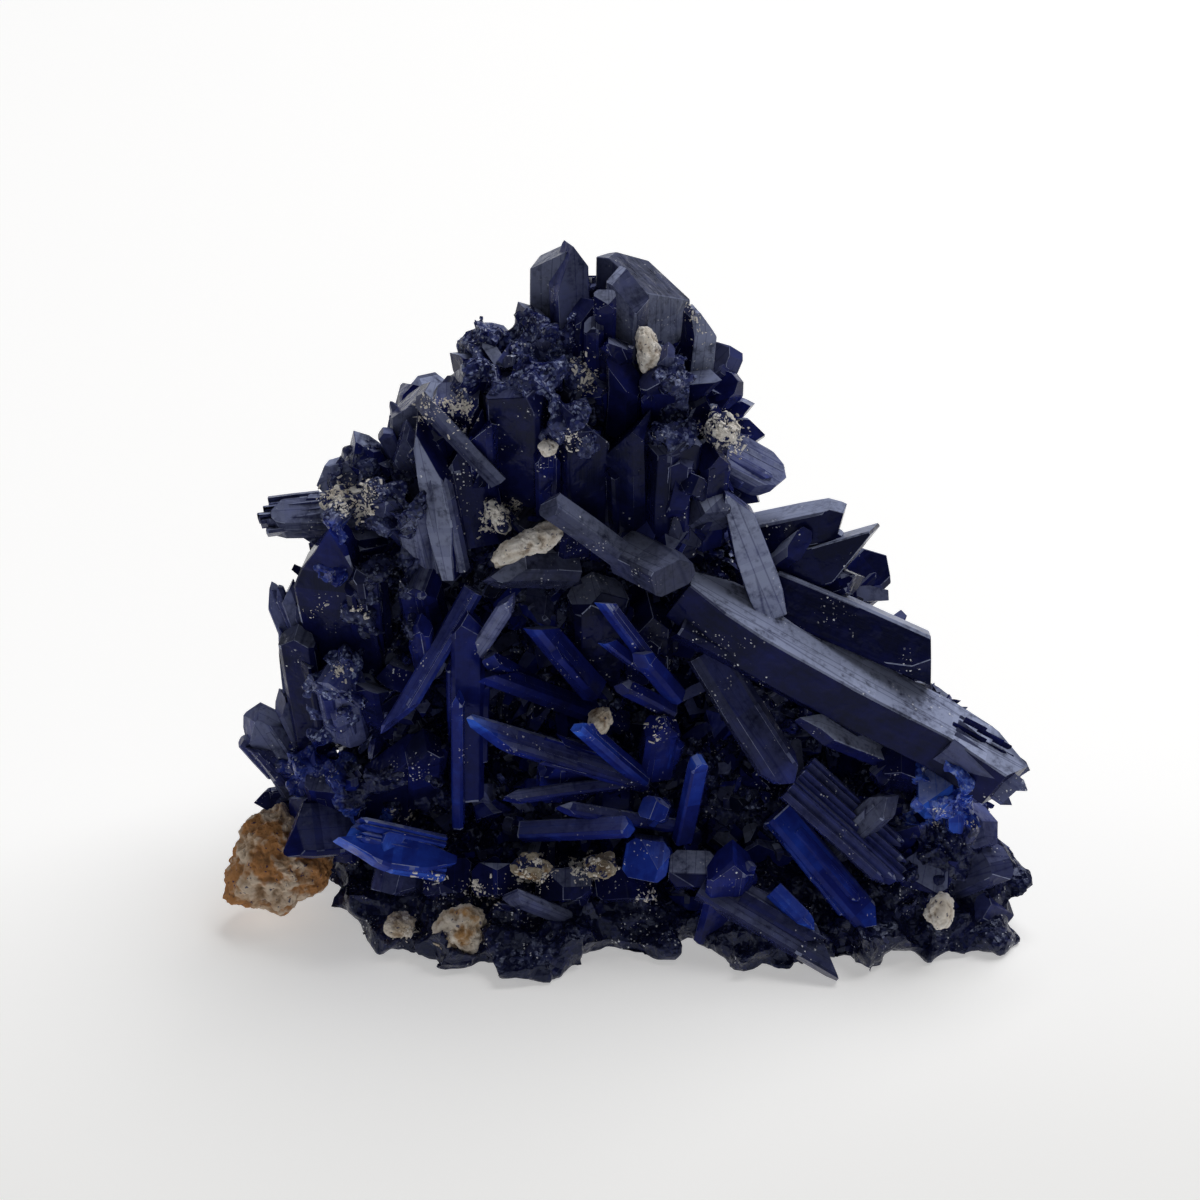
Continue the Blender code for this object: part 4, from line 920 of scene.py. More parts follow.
crystal_piece("right_foot_blades", [
    crystal((10.6, 35, 13.6), (19.2, 21.4, 8.4), 4.4, 3, (0.3, 0.1, 1), ROUND, 0.12, 0.1, 0.5),
    crystal((18, 18.4, 11), (27.8, 6.8, 6.2), 3.2, 2.6, (0.3, 0.2, 1), ((0, 30, 0), (180, 50, 0)), 0.52),
    laths((20, 22, 12.4), (31.6, 11.6, 8), 5.2, 2.6, 7, 3, 8, (0.3, 0.15, 1), ROOF_SHARP, 0.35, 0.12),
    crystal((24, 14.6, 11.6), (29.6, 20.2, 9.2), 3.2, 2, (-0.2, 0.4, 1), blue=0.1, frost_and_sheen=0.4),
    crystal((10.6, 11.4, 8.4), (25, 2.9, 3.6), 4, 2.8, (0.2, 0.35, 1), LEFT_CUT, 0.14, 0.12, corner=0.1),
    crystal((17.6, 10.6, 6.6), (21.8, 6.4, 4.4), 1.6, 1.6, (0.2, 0.35, 1), ROOF_SHARP, 0.7, 0, 0.85),
    crystal((12, 6, 10), (13.4, 14.6, 6.2), 5, 3.4, (0.2, 0, 1), blue=0.35),
    crystal((29.4, 8, 10), (27.6, 4.6, 5), 3.2, 3, (0.1, 0.6, 1), ROOF_LOW, 0.2, 0.3),
    crystal((34, 20, 13), (33.8, 21.2, 8.2), 3.6, 4.6, (0, 1, 0), ((90, 25, -1), (180, 20, -1)), 0.9),
    crystal((37, 21, 14), (37, 21.8, 9.4), 2.8, 3.6, (0.2, 1, 0), ((0, 25, -1),), 0.85),
    crystal((36.4, 18, 13), (36.4, 18.1, 8.8), 2.4, 3.4, (0, 1, 0), ((270, 25, -1),), 0.75),
    crystal((34, 10, 15), (40.8, 13.4, 10.6), 4.4, 3.6, (0.3, 0.3, 1), ((180, 20, 0),), 0.15, 0.2),
    crystal((33, 15, 16), (39.8, 17.4, 12.6), 5, 3, (0.3, 0.3, 1), ((180, 30, 0),), 0.3, 0.3),
    crystal((35, 8, 15), (41.6, 8.2, 10.4), 5.4, 4.4, (0.3, 0.2, 1), ROUND, 0.2, 0.1),
    crystal((33, 12, 14), (33.4, 12.2, 8), 5.4, 4, (0.2, 1, 0), ((90, 25, -1),), 0.15),
    crystal((27, 14, 14), (31.6, 15.6, 9.4), 4, 3.4, (0.2, 0.4, 1), RIGHT_CUT, 0.15),
    crystal((30, 22, 15), (30.4, 24, 10.6), 5, 3, (0.1, 0.6, 1), ROOF_LOW, 0.1),
])

# Foot. Rough dark rock of broken blocks round the front of the foot, with blunt crystals on it and a bright
# broken bundle at its left. Azurite, trimmed at the front and sawn off level with the rest.

# Where the rim of the foot reaches on the ground, from left to right: across and depth of its front.
RIM = (
    (-27, 19), (-24.6, 12.5), (-22, 9.4), (-19, 9), (-16.2, 6.4), (-13.6, 5.4), (-11.4, 7), (-8.8, 3.3),
    (-6.4, 4.6), (-3.6, 5), (-1, 7.6), (1.2, 9.4), (4, 8), (6, 9.4), (9.6, 10.8), (12.6, 7.6), (15.4, 5.4),
    (18, 6.4), (21, 7), (24, 6.4), (27, 5.2), (30.4, 6.8), (33.8, 7.4), (37, 8), (40.6, 8.8),
)
FRONTMOST = -0.0148  # metres from the middle, where the trimmed front begins
DEEPEST = -0.001  # metres, the lowest that a block starts before it is sawn off


def chunk(middle, size, seed, blue=0.12, frost_and_sheen=0.0):
    """A broken block: no crystal faces, only flat breaks."""
    luck = random.Random(seed + 7)
    select_only()
    bpy.ops.mesh.primitive_cube_add(size=1)
    block = bpy.context.active_object
    chip_off(block, 9, (0.3, 0.55), seed)
    block.data.transform(Matrix.Diagonal((*size, 1)))
    finish_with(block, "BEVEL", width=0.03, segments=1, limit_method="ANGLE", angle_limit=math.radians(20))
    grain_map(block.data)
    block.data.transform(Matrix.Rotation(luck.uniform(0, 3), 4, Vector((luck.random(), luck.random(), 1))))
    to_place(block.data, middle)
    block.data.update()
    lowest = min(vertex.co.z for vertex in block.data.vertices)
    if lowest < DEEPEST:
        block.data.transform(Matrix.Translation((0, 0, DEEPEST - lowest)))
    tone_of(block.data, blue, frost_and_sheen, luck.random())
    cut_flat(block, OFF_GROUND)
    return block


def craggy(things, name, cell, depth, ridge):
    """Grows blocks together into one rough mass with sharp ridges and hollows."""
    piece = made_one(things, name)
    finish_with(piece, "REMESH", mode="VOXEL", voxel_size=cell)
    pit(piece, name + "_ridges", ridge, depth, 0.35)
    pit(piece, name + "_splinters", ridge * 0.4, depth / 3, 0.35)
    finish_with(piece, "DECIMATE", ratio=0.5)
    cut_flat(piece)
    return piece


def foot_rock():
    luck = random.Random(41)
    made = []
    for number, (across, front) in enumerate(RIM):
        for row in range(3):
            size = [luck.uniform(3.4, 6.4), luck.uniform(4.5, 7), luck.uniform(3.5, 6)]
            place = level(
                across + luck.uniform(-0.8, 0.8),
                front - 2.1 + size[1] * 0.42 + row * 2.4 + luck.uniform(-0.3, 0.6),
                0.4 + row * 2.6 + luck.uniform(-0.3, 0.3),
            )
            blue, frost_and_sheen = luck.choice((0.05, 0.12, 0.2, 0.3)), luck.choice((0, 0, 0.4))
            made.append(chunk(place, size, number * 3 + row, blue, frost_and_sheen))
    return made


foot = craggy(foot_rock(), "foot_rock", 0.0003, 0.0012, 0.0034)
for vertex in foot.data.vertices:  # the front was trimmed: what reached further is squeezed back
    vertex.co.y = max(vertex.co.y, FRONTMOST + (vertex.co.y - FRONTMOST) * 0.3)
foot.data.update()
tone_of(foot.data, 0.0, 0.0, shine=0.2)
part_of_crystals(foot, GRANULAR)

crystal_piece("foot_blocks", [
    chunk((-21.8, 15.2, 9.6), (6, 4.4, 3.4), 311, 0.8),
    chunk((-18.6, 14.6, 9.4), (5.6, 4.4, 3.2), 313, 0.72),
    chunk((-24.4, 15.6, 10.2), (3, 3.4, 2.6), 317, 0.8),
    crystal(
        (-15, 13.4, 9), (-26.8, 15.8, 7), 4, 3, (-0.1, 0.35, 1), ROOF_SHARP, 0.64, 0, 0.84, company=0,
        outline=((0, 0.2, 0.3), (0.2, 1.2, 1.1), (0.45, 2.1, 1.6), (0.75, 1.9, 1.4), (1, 0.5, 0.4)),
    ),
    laths((-16, 14.8, 9.2), (-25, 17, 7.2), 2.4, 2, 4, 4, 31, (-0.1, 0.35, 1), ROOF_SHARP, 0.7, 0),
    laths((-16, 12.4, 8.6), (-23.6, 13.8, 6.6), 1.8, 2, 3, 3, 33, (-0.1, 0.35, 1), ROOF_SHARP, 0.78, 0),
    crystal((-19, 12, 15), (-22, 12.4, 9), 5, 4.4, (-0.3, 0.6, 1), ROUND, 0.3, 0.3),
    crystal((-14.8, 11, 14), (-16, 12, 8.4), 5, 3.6, (-0.2, 0.6, 1), ROOF_LOW, 0.15),
    crystal((-2.4, 7, 8.6), (-9.2, 10.2, 5), 1.8, 2.2, (0, 0.6, 1), ROUND, 0.15, 0.4),
    crystal((-10, 11, 14), (-10.4, 11.8, 6.6), 5.4, 3.4, (0, 1, 0.2), ROOF_LOW, 0.15),
    crystal((-3.4, 11, 14), (-3.8, 11.2, 6.8), 6, 3.4, (0, 1, 0.2), ((90, 20, -0.2), (0, 20, 0)), 0.1),
    crystal((2.4, 10, 14), (2.6, 11.4, 7.4), 6.4, 3.6, (0, 1, 0.2), ROOF_LOW, 0.1),
    crystal((9.4, 12, 14), (9.4, 12.8, 8), 5, 4, (0, 1, 0.2), ((90, 25, -0.3),), 0.15),
])
# Back growth. Blocky crystals cover the back and both flanks, grown out of the mass the same way as the front
# ones. Azurite, an even dark blue and free of frost.

BACK_MATRIX_MIDDLE = (0, 36, 18)  # across, depth and height
BACK_MATRIX_SIZE = (38, 10, 30)
BACKMOST = 0.0153  # how far back the specimen reaches, in metres from its middle
BACKMOST_TIP = 39.6  # steps of depth that a crystal's tip stays within

# Rounds of crystals, each on one lump of the mass: its middle and size, a seed, how many, over which arc in
# degrees from the right, and between which heights, from -1 at the lump's underside to 1 at its top.
BACK_ROUNDS = (
    ((4, 25, 9), (72, 30, 26), 3, 8, (6, 174), (0, 0.8)),
    ((-20, 25, 25), (21, 22, 34), 5, 3, (60, 170), (-0.2, 0.7)),
    ((-1, 26, 36), (34, 20, 44), 7, 4, (30, 150), (0.2, 0.9)),
    ((0.5, 26, 56), (19, 15, 25), 12, 3, (40, 140), (-0.2, 0.8)),
    ((18, 26, 23), (27, 20, 27), 13, 3, (40, 120), (-0.1, 0.8)),
    ((-15, 25, 42), (22, 13, 18), 17, 2, (80, 150), (0, 0.9)),
    ((0, 31, 17), (40, 12, 32), 43, 9, (10, 170), (-0.9, 0.95)),
)


def is_by_back_matrix(place):
    away = place - Vector(BACK_MATRIX_MIDDLE)
    return sum((2 * offset / (side - 3)) ** 2 for offset, side in zip(away, BACK_MATRIX_SIZE)) < 1


def back_growth():
    made = []
    for middle, size, seed, count, arc, heights in BACK_ROUNDS:
        luck = random.Random(seed)
        for place in range(count):
            turn = math.radians(arc[0] + (arc[1] - arc[0]) * (place + luck.uniform(0.2, 0.8)) / count)
            rise = luck.uniform(*heights)
            flat = math.sqrt(1 - rise * rise)
            outward = Vector((math.cos(turn) * flat, math.sin(turn) * flat, rise))
            root = Vector(middle) + outward * Vector(size) * 0.25
            tip = Vector(middle) + outward * Vector(size) * 0.495 + outward * luck.uniform(1, 3)
            tip += Vector((luck.uniform(-4, 4), luck.uniform(-1, 1), luck.uniform(0, 5)))
            width = luck.uniform(4.5, 8.5)
            if is_by_back_matrix(tip):
                continue
            end = luck.choice((ROOF, ROOF_LOW, LEFT_CUT, RIGHT_CUT, ROUND, POINT))
            face = (luck.uniform(-0.6, 0.6), luck.uniform(0.2, 1), -1)
            tip.y = min(tip.y, BACKMOST_TIP)
            grown = crystal(level(*root), level(*tip), width, width * luck.uniform(0.45, 0.7), face, end, 0.2)
            if max(vertex.co.y for thing in grown for vertex in thing.data.vertices) < BACKMOST:
                made.append(grown)
            else:
                for thing in grown:
                    bpy.data.objects.remove(thing)
    return made


crystal_piece("back_growth", back_growth())

# Broken growth. Short thick crystals and broken stubs crowd between the long ones at every angle, so that the
# display face is closed. Azurite; what is left of crystals that grew into each other or were broken off.

CROWDED = ("heart", "peak_left_blocks", "upper_blocks")  # what they grow on
CLEAR_WINDOWS = ((-12, 50, -4.8, 62), (-4.4, 47, 6, 60))  # two big clean faces of the upper blocks
NEIGHBOURS = ((0, 0), (2.4, 0), (-2.4, 0), (0, 2.4), (0, -2.4))  # steps round a place, crowded as well


def pieces_with(test):
    """Finished pieces whose slot in the record passes a test."""
    return [thing for thing in bpy.data.objects if test(thing.get("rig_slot"))]


def surface_of(pieces):
    """The outer skin of finished pieces, to find places on."""
    corners, faces = [], []
    for piece in pieces:
        first = len(corners)
        corners.extend(vertex.co.copy() for vertex in piece.data.vertices)
        faces.extend([first + corner for corner in face.vertices] for face in piece.data.polygons)
    return BVHTree.FromPolygons(corners, faces)


def site(surface, across, up):
    """Where a line of sight through a layout place meets the display face, its way there and how far away."""
    ahead = toward(0, 0, 1)
    return surface.ray_cast(spot(across, up, 25) + ahead * 0.1, -ahead)


def layout_of(point, behind=0):
    """Layout place of a point in metres, or of one some steps behind it."""
    _, up, back = level(0, point.y / STEP + MIDDLE_BACK + behind, point.z / STEP)
    return point.x / STEP + MIDDLE_ACROSS, up, back


def stub(place, size, luck, seed, *looks):
    """A chunk about as wide, deep and high as size."""
    return chunk(place, [size * luck.uniform(0.7, 1.2) for _ in range(3)], seed, *looks)


def is_free(across, up, skin, clear):
    """Whether a place lies well inside the crowded parts, off their clean faces and with nothing in front."""
    if any(site(skin, across + right, up + over)[0] is None for right, over in NEIGHBOURS):
        return False
    if any(left < across < right and bottom < up < top for left, bottom, right, top in CLEAR_WINDOWS):
        return False
    before = site(clear, across, up)[3]
    return before is None or before >= site(skin, across, up)[3]


def broken_growth():
    luck = random.Random(23)
    azurite = pieces_with(lambda slot: slot == "azurite")
    clear = surface_of([thing for thing in azurite if thing.name not in CROWDED])
    skin = surface_of([thing for thing in azurite if thing.name in CROWDED])
    made = []
    for _ in range(900):
        if len(made) >= 140:
            break
        across, up = luck.uniform(-31, 40), luck.uniform(7, 69)
        if not is_free(across, up, skin, clear):
            continue
        place, facing, _, _ = site(skin, across, up)
        outward = facing * 0.5 + toward(0, 0.3, 1) + any_way(luck, 0.45)
        outward.normalize()
        size = luck.choice((1.4, 1.8, 2.4, 3.2, 4.4)) * luck.uniform(0.8, 1.2)
        blue = luck.choice((0.0, 0.05, 0.12, 0.2, 0.35))
        if luck.random() < 0.6:
            end = luck.choice((ROOF, ROOF_LOW, LEFT_CUT, RIGHT_CUT, ROUND, SQUARE, POINT))
            facing = any_way(luck)
            made.append(crystal_between(
                place - outward * 4 * STEP, place + outward * luck.uniform(0.4, 2.2) * STEP, size,
                size * luck.uniform(0.4, 0.8), facing, end, blue, luck.choice((0, 0, 0.3)), None, 0.15,
            ))
        else:
            made.append(stub(layout_of(place), size, luck, len(made), blue))
    return made


crystal_piece("broken_growth", broken_growth())

# Granular growth. Where the crystals stayed tiny the surface is a rough crust between the big ones, sparkling
# partly with painted glints. Azurite grains grown together, brighter blue than the thick crystals.

# Left, bottom, right and top of each patch on the display face, in layout steps, then how blue and how pale,
# the pale being frost together with painted sheen and painted glints.
GRANULAR_PATCHES = (
    (-12, 60.5, -1.5, 67.5, 0.3, 0.5),
    (-5, 55, 1, 61, 0.2, 0.3),
    (5, 55, 10, 63, 0.15, 0.3),
    (-27, 46, -17.5, 54.5, 0.15, 0.3),
    (-28.2, 40.4, -25.2, 46.8, 0.6, 0.35),
    (-24, 36, -18.5, 45, 0.1, 0.3),
    (-29.5, 26, -24.4, 34, 0.4, 0.9),
    (-32, 20, -25, 24.5, 0.6, 0.3),
    (-25, 18, -15, 22.5, 0.1, 0.1),
    (-25.6, 16.6, -22, 17.8, 0.85, 0.5),
    (-13.5, 58.5, -3, 66.5, 0.25, 0.5),
    (32, 16, 38.6, 23, 0.85, 0.6),
    (31, 8, 38, 16, 0.15, 0.1),
)
PATCH_STEPS = 2.2  # square steps of a patch for each grain
FIRST_SEED = 500  # of the grains, clear of the other chunks' seeds


def granular_growth():
    luck = random.Random(61)
    skin = surface_of(pieces_with(lambda slot: slot == "azurite"))
    made = []
    for left, bottom, right, top, blue, frost_and_sheen in GRANULAR_PATCHES:
        for _ in range(int((right - left) * (top - bottom) / PATCH_STEPS)):
            place = site(skin, luck.uniform(left, right), luck.uniform(bottom, top))[0]
            if place is None or place.z < 0.002:
                continue
            size = luck.uniform(1.6, 3.4)
            made.append(stub(layout_of(place, 0.7), size, luck, len(made) + FIRST_SEED, blue, frost_and_sheen))
    return made


def tone_by_patch(mesh):
    """How blue and how pale each point of the crust is, from the patch it lies in."""
    places = numbers(mesh.vertices, "co", 3) / STEP
    across = places[:, 0] + MIDDLE_ACROSS
    up = places[:, 2] * math.cos(LEAN) + (places[:, 1] + MIDDLE_BACK) * math.sin(LEAN)
    tones = np.tile((0.15, 0.3), (len(places), 1))
    for left, bottom, right, top, blue, frost_and_sheen in GRANULAR_PATCHES:
        inside = (across > left - 1) & (across < right + 1) & (up > bottom - 1) & (up < top + 1)
        tones[inside] = blue, frost_and_sheen
    return tones[:, 0], tones[:, 1]


grains = craggy(granular_growth(), "granular_growth", 0.00022, 0.0007, 0.0021)
tone_of(grains.data, *tone_by_patch(grains.data), shine=0.6)
part_of_crystals(grains, GRANULAR)

# Matrix. Lumps of the rock the crystals grew on, caught between them: pale clay and sandstone, stained orange
# by iron where it weathered. Each is set in its own pocket in the crystals, its surface crumbled to a crust.


def matrix_paint(name, pale, tan, rust, rust_share, azurite_share=0.0):
    """Crumbly clay and sandstone: pale on its ridges, tan below, rust in stains and azurite in flecks."""
    paint = Paint(name, Roughness=0.9, IOR=1.4)
    place = paint.place()
    crust = paint.node("Attribute", out=2, attribute_name="crust")
    patches = paint.noise(place, 0.0022, 5, 0.65)
    stains = paint.noise(place, 0.0036, 4, 0.6)
    grit = paint.noise(place, 0.00028, 5, 0.75)
    ground = paint.mix((patches * 0.85 + crust * 0.15).within(0.36, 0.62), (*tan, 1), (*pale, 1))
    stain = (stains + (0.5 - crust) * 0.07).within(0.66 - 0.26 * rust_share, 0.76 - 0.26 * rust_share)
    stained = paint.mix(stain, ground, (*rust, 1))
    hollow = (grit * 0.55 + crust * 0.45).within(0.08, 0.5)
    shaded = paint.mix(hollow, (0.20, 0.12, 0.065, 1), stained)
    blue = paint.noise(place, 0.0004, 2).within(0.655, 0.69) * 0.8
    if azurite_share:
        least = 0.25 * azurite_share
        grown = paint.noise(place, 0.0011, 5, 0.7).within(0.6 - least, 0.64 - least)
        blue = blue + grown * (1 - crust.within(0.55, 0.75))
    height = grit * 0.7 + paint.noise(place, 0.0009, 4) * 0.6
    return paint.feed(
        Base_Color=paint.mix(blue, shaded, (0.015, 0.022, 0.10, 1)),
        Normal=paint.bump(0.9, 0.0003, height),
    )


RUSTY = matrix_paint("matrix_rusty", (0.78, 0.64, 0.50), (0.46, 0.29, 0.165), (0.50, 0.235, 0.085), 0.74)
CREAM = matrix_paint("matrix_clay", (0.95, 0.91, 0.86), (0.80, 0.72, 0.62), (0.62, 0.47, 0.33), 0.1)
PALE = matrix_paint("matrix_sand", (0.84, 0.76, 0.66), (0.56, 0.45, 0.33), (0.50, 0.28, 0.11), 0.35)
CRUSTED = matrix_paint(
    "matrix_on_azurite", (0.92, 0.90, 0.86), (0.66, 0.62, 0.56), (0.55, 0.42, 0.30), 0.1, 0.75,
)
SEAM = matrix_paint("matrix_seam_clay", (0.50, 0.44, 0.34), (0.26, 0.21, 0.15), (0.42, 0.24, 0.10), 0.45, 0.4)

# How far the rim of a rock stands from its middle on the display face: (degrees from the right, steps).
LUMP_RIM = (
    (-180, 4.7), (-174, 4.8), (-154, 5.8), (-144, 6.9), (-136, 6.7), (-125, 6.0), (-110, 5.4), (-98, 5.3),
    (-87, 5.8), (-75, 5.3), (-58, 4.8), (-34, 5.5), (-21, 5.9), (5, 5.7), (40, 5.4), (75, 5.1), (85, 6.0),
    (97, 5.2), (109, 5.3), (132, 5.0), (150, 4.4), (161, 4.7), (180, 4.7),
)
WEDGE_RIM = (
    (-180, 3.9), (-165, 3.6), (-150, 2.2), (-120, 1.3), (-90, 1.2), (-60, 1.3), (-30, 2.3), (-5, 4.1),
    (5, 4.3), (25, 3.6), (50, 1.9), (80, 1.5), (110, 1.3), (140, 1.7), (160, 2.8), (180, 3.9),
)

# Name, middle, (width, depth, height), degrees turned on the display face, seed, how crumbled, paint, slot
# in the record, rim.
MATRIX = (
    ("matrix_lump", (-33.3, 13.3, 15), (11.6, 9.2, 11.8), 0, 2, 0.75, RUSTY, "matrix_rust", LUMP_RIM),
    ("matrix_wedge", (-7.2, 45.4, 12.6), (8.6, 4.4, 3), 22, 3, 0.5, CREAM, "matrix_cream", WEDGE_RIM),
    ("matrix_nub", (-10.2, 48.4, 14.6), (2.2, 3.2, 4), 32, 4, 0.6, CRUSTED, "matrix_pale", None),
    ("matrix_peak", (4.6, 64.4, 17.6), (2.6, 3.2, 5.4), 10, 5, 0.5, CREAM, "matrix_pale", None),
    ("matrix_bead", (-5.1, 55, 12.8), (2, 2.2, 2), 0, 6, 0.3, CREAM, "matrix_pale", None),
    ("matrix_shoulder", (-25, 50, 19.8), (5.6, 3.8, 3), 10, 7, 0.6, CRUSTED, "matrix_pale", None),
    ("matrix_flank", (12, 56.8, 15.8), (3.4, 3.4, 3.8), 0, 8, 0.7, CRUSTED, "matrix_pale", None),
    ("matrix_chip", (0, 27.8, 10.6), (2.4, 3.4, 3.6), -20, 9, 0.5, PALE, "matrix_pale", None),
    ("matrix_foot", (-14.2, 6.4, 6.4), (5.4, 5, 5), 40, 18, 0.7, PALE, "matrix_pale", None),
    ("matrix_heel", (-20.4, 6.8, 7.6), (3.2, 3.6, 2.6), 0, 11, 0.6, PALE, "matrix_pale", None),
    ("matrix_seam_left", (-7, 12.8, 7.4), (4, 3.4, 2.4), 0, 12, 0.7, SEAM, "matrix_pale", None),
    ("matrix_seam_right", (0, 13.2, 7.4), (3.6, 3.4, 2), 0, 13, 0.7, SEAM, "matrix_pale", None),
    ("matrix_toe", (34.6, 8.4, 6), (3, 3.6, 3.6), 0, 14, 0.6, CREAM, "matrix_pale", None),
    ("matrix_back", level(*BACK_MATRIX_MIDDLE), BACK_MATRIX_SIZE, 0, 15, 1, PALE, "matrix_pale", None),
)
FINE_FROM = 5  # steps across, from which a rock has the finer mesh
UNEVEN_FROM = 20  # steps across, from which its outline wanders too


def to_rim(places, rim):
    """Draws a round body of one step out to a rim on the display face."""
    away = places[:, 1] * math.sin(LEAN) + places[:, 2] * math.cos(LEAN)
    asked = np.interp(np.degrees(np.arctan2(away, places[:, 0])), *zip(*rim))
    share = asked / 0.5
    out = places[:, 2] * math.sin(LEAN) - places[:, 1] * math.cos(LEAN)
    thick = float(np.mean([distance for _, distance in rim])) * 1.7
    across, up, near = places[:, 0] * share, away * share, out * thick
    return np.stack([
        across,
        up * math.sin(LEAN) - near * math.cos(LEAN),
        up * math.cos(LEAN) + near * math.sin(LEAN),
    ], 1)


def crumble(places, apart, crumbled, lumpy):
    """Moves a round body's points in and out to lumps, ridges and crumbs; returns how high each stands."""
    crust = np.empty(len(places))
    for index, place in enumerate(places):
        point = Vector(place)
        lumps = noise.noise(point * 0.45 + apart) * lumpy
        ridges = 0.5 - abs(noise.noise(point * 0.6 + apart * 2)) * 1.6
        crumbs = noise.turbulence(point * 1.3 + apart, 5, False) - 0.4
        crust[index] = ridges * 0.5 + crumbs * 0.9
        moved = lumps * 0.9 + ridges * crumbled * 0.42 + crumbs * crumbled * 0.5
        places[index] += np.array(point.normalized()) * moved
    low, high = np.percentile(crust, (4, 96))
    return np.clip((crust - low) / (high - low), 0, 1).astype(np.float32)


def rock(name, middle, size, turn, seed, crumbled, rim):
    widest = max(size)
    select_only()
    bpy.ops.mesh.primitive_ico_sphere_add(subdivisions=6 if widest > FINE_FROM else 5, radius=0.5)
    stone = bpy.context.active_object
    mesh = stone.data
    places = numbers(mesh.vertices, "co", 3)
    places = to_rim(places, rim) if rim else places * size
    apart = Vector((seed * 17.1, seed * 13.7, seed * 5))
    if widest > UNEVEN_FROM:
        for place in places:
            place[[0, 2]] *= 1 + 0.5 * noise.noise(Vector((place[0], 0, place[2])) * 0.09 + apart)
    crust = crumble(places, apart, crumbled, min(1.0, widest * 0.14) * (0.4 if rim else 1))
    mesh.vertices.foreach_set("co", places.ravel())
    mesh.update()
    mesh.attributes.new("crust", "FLOAT", "POINT").data.foreach_set("value", crust)
    mesh.transform(Matrix.Rotation(math.radians(turn), 4, toward(0, 0, 1)))
    to_place(mesh, middle)
    cut_flat(stone, OFF_GROUND)
    stone.name = stone.data.name = name + "_rock"
    return stone


for name, middle, size, turn, seed, crumbled, paint, slot, rim in MATRIX:
    stone = rock(name, middle, size, turn, seed, crumbled, rim)
    stone.data.materials.append(paint)
    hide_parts(name)
    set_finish(stone, slot)
    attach(stone, "root")

# Druse. Small crystals coat what the big ones leave free, a tenth of a millimetre to four millimetres long,
# standing every way on the mass. Azurite; they sparkle, partly with painted glints, and hold most of the
# dust.


def druse_form():
    """A short crystal a unit wide, with a roof and two corners off."""
    select_only()
    bpy.ops.mesh.primitive_cube_add(size=1)
    thing = bpy.context.active_object
    bpy.ops.object.mode_set(mode="EDIT")
    bpy.ops.transform.translate(value=(0, 0, 0.3))
    for point, normal in (
        ((0, 0, 0.8), (0.75, 0, 0.66)), ((0, 0, 0.8), (-0.75, 0, 0.66)), ((0.42, 0.42, 0), (1, 1, 0)),
        ((-0.42, -0.42, 0), (-1, -1, 0)), ((0, 0.3, 0.7), (0, 0.6, 0.8)),
    ):
        saw(point, normal)
    bpy.ops.object.mode_set(mode="OBJECT")
    form = thing.data
    bpy.data.objects.remove(thing)
    return form


def strewn(name, form, places):
    """One mesh of many copies of a small form, each at (place, way it stands, width, thickness, length, blue,
    pale share of frost and painted sheen). Copies that would reach into the ground or past the back are left
    out."""
    shape = numbers(form.vertices, "co", 3)
    faces = [tuple(face.vertices) for face in form.polygons]
    luck = random.Random(len(places))
    corners, sides, tones = [], [], []
    for place, outward, width, thick, length, blue, frost_and_sheen in places:
        right = outward.cross(any_way(luck)).normalized()
        turn = np.array((right * width, outward.cross(right) * thick, outward * length))
        copy = shape @ turn + np.array(place)
        if copy[:, 2].min() < 0.00002 or copy[:, 1].max() > BACKMOST:
            continue
        first = len(corners) * len(shape)
        corners.append(copy)
        sides.extend(tuple(first + corner for corner in face) for face in faces)
        tones.append((blue, frost_and_sheen, luck.random()))
    mesh = bpy.data.meshes.new(name)
    mesh.from_pydata(np.concatenate(corners).tolist(), [], sides)
    tones = np.repeat(np.array(tones), len(shape), axis=0)
    tone_of(mesh, tones[:, 0], tones[:, 1], tones[:, 2], 0.5)
    piece = bpy.data.objects.new(name, mesh)
    bpy.context.scene.collection.objects.link(piece)
    return piece


def druse_on_mass():
    luck = random.Random(9)
    places = []
    for face in mass.data.polygons:
        if face.center.z < 0.0004 or luck.random() < 0.35:
            continue
        for _ in range(1 + (face.area > 6e-7)):  # two on a big face
            away = (face.normal + any_way(luck, 0.45)).normalized()
            width = luck.choice((0.3, 0.45, 0.7, 1.1)) * luck.uniform(0.7, 1.4) * STEP
            slip = Vector([luck.uniform(-0.35, 0.35) for _ in range(3)]) * STEP
            places.append((
                face.center + slip, away, width, width * luck.uniform(0.4, 0.9), width * luck.uniform(1, 2.6),
                luck.uniform(0, 0.4), luck.choice((0, 0, 0.3, 0.7)),
            ))
    return places


def small_crystals():
    """Crystals of one to four millimetres that fill the gaps between the big ones."""
    luck = random.Random(19)
    roots = [face for face in mass.data.polygons if face.center.z > 0.002]
    places = []
    for face in luck.sample(roots, 900):
        away = (face.normal + any_way(luck, 0.4)).normalized()
        width = luck.uniform(0.9, 2.4) * STEP
        places.append((
            face.center - away * STEP, away, width, width * luck.uniform(0.45, 0.9),
            width * luck.uniform(1.6, 3.4), luck.uniform(0, 0.45), luck.choice((0, 0, 0, 0.3)),
        ))
    return places


part_of_crystals(strewn("druse", druse_form(), druse_on_mass()), GRANULAR)
part_of_crystals(strewn("small_crystals", druse_form(), small_crystals()), GLASSY)

# Clay crust. Crumbs and flakes of the pale matrix that cling to the crystals in patches, most of them in the
# angles between crystals and along the seam at the foot. Dry clay, in crumbs of under a millimetre.

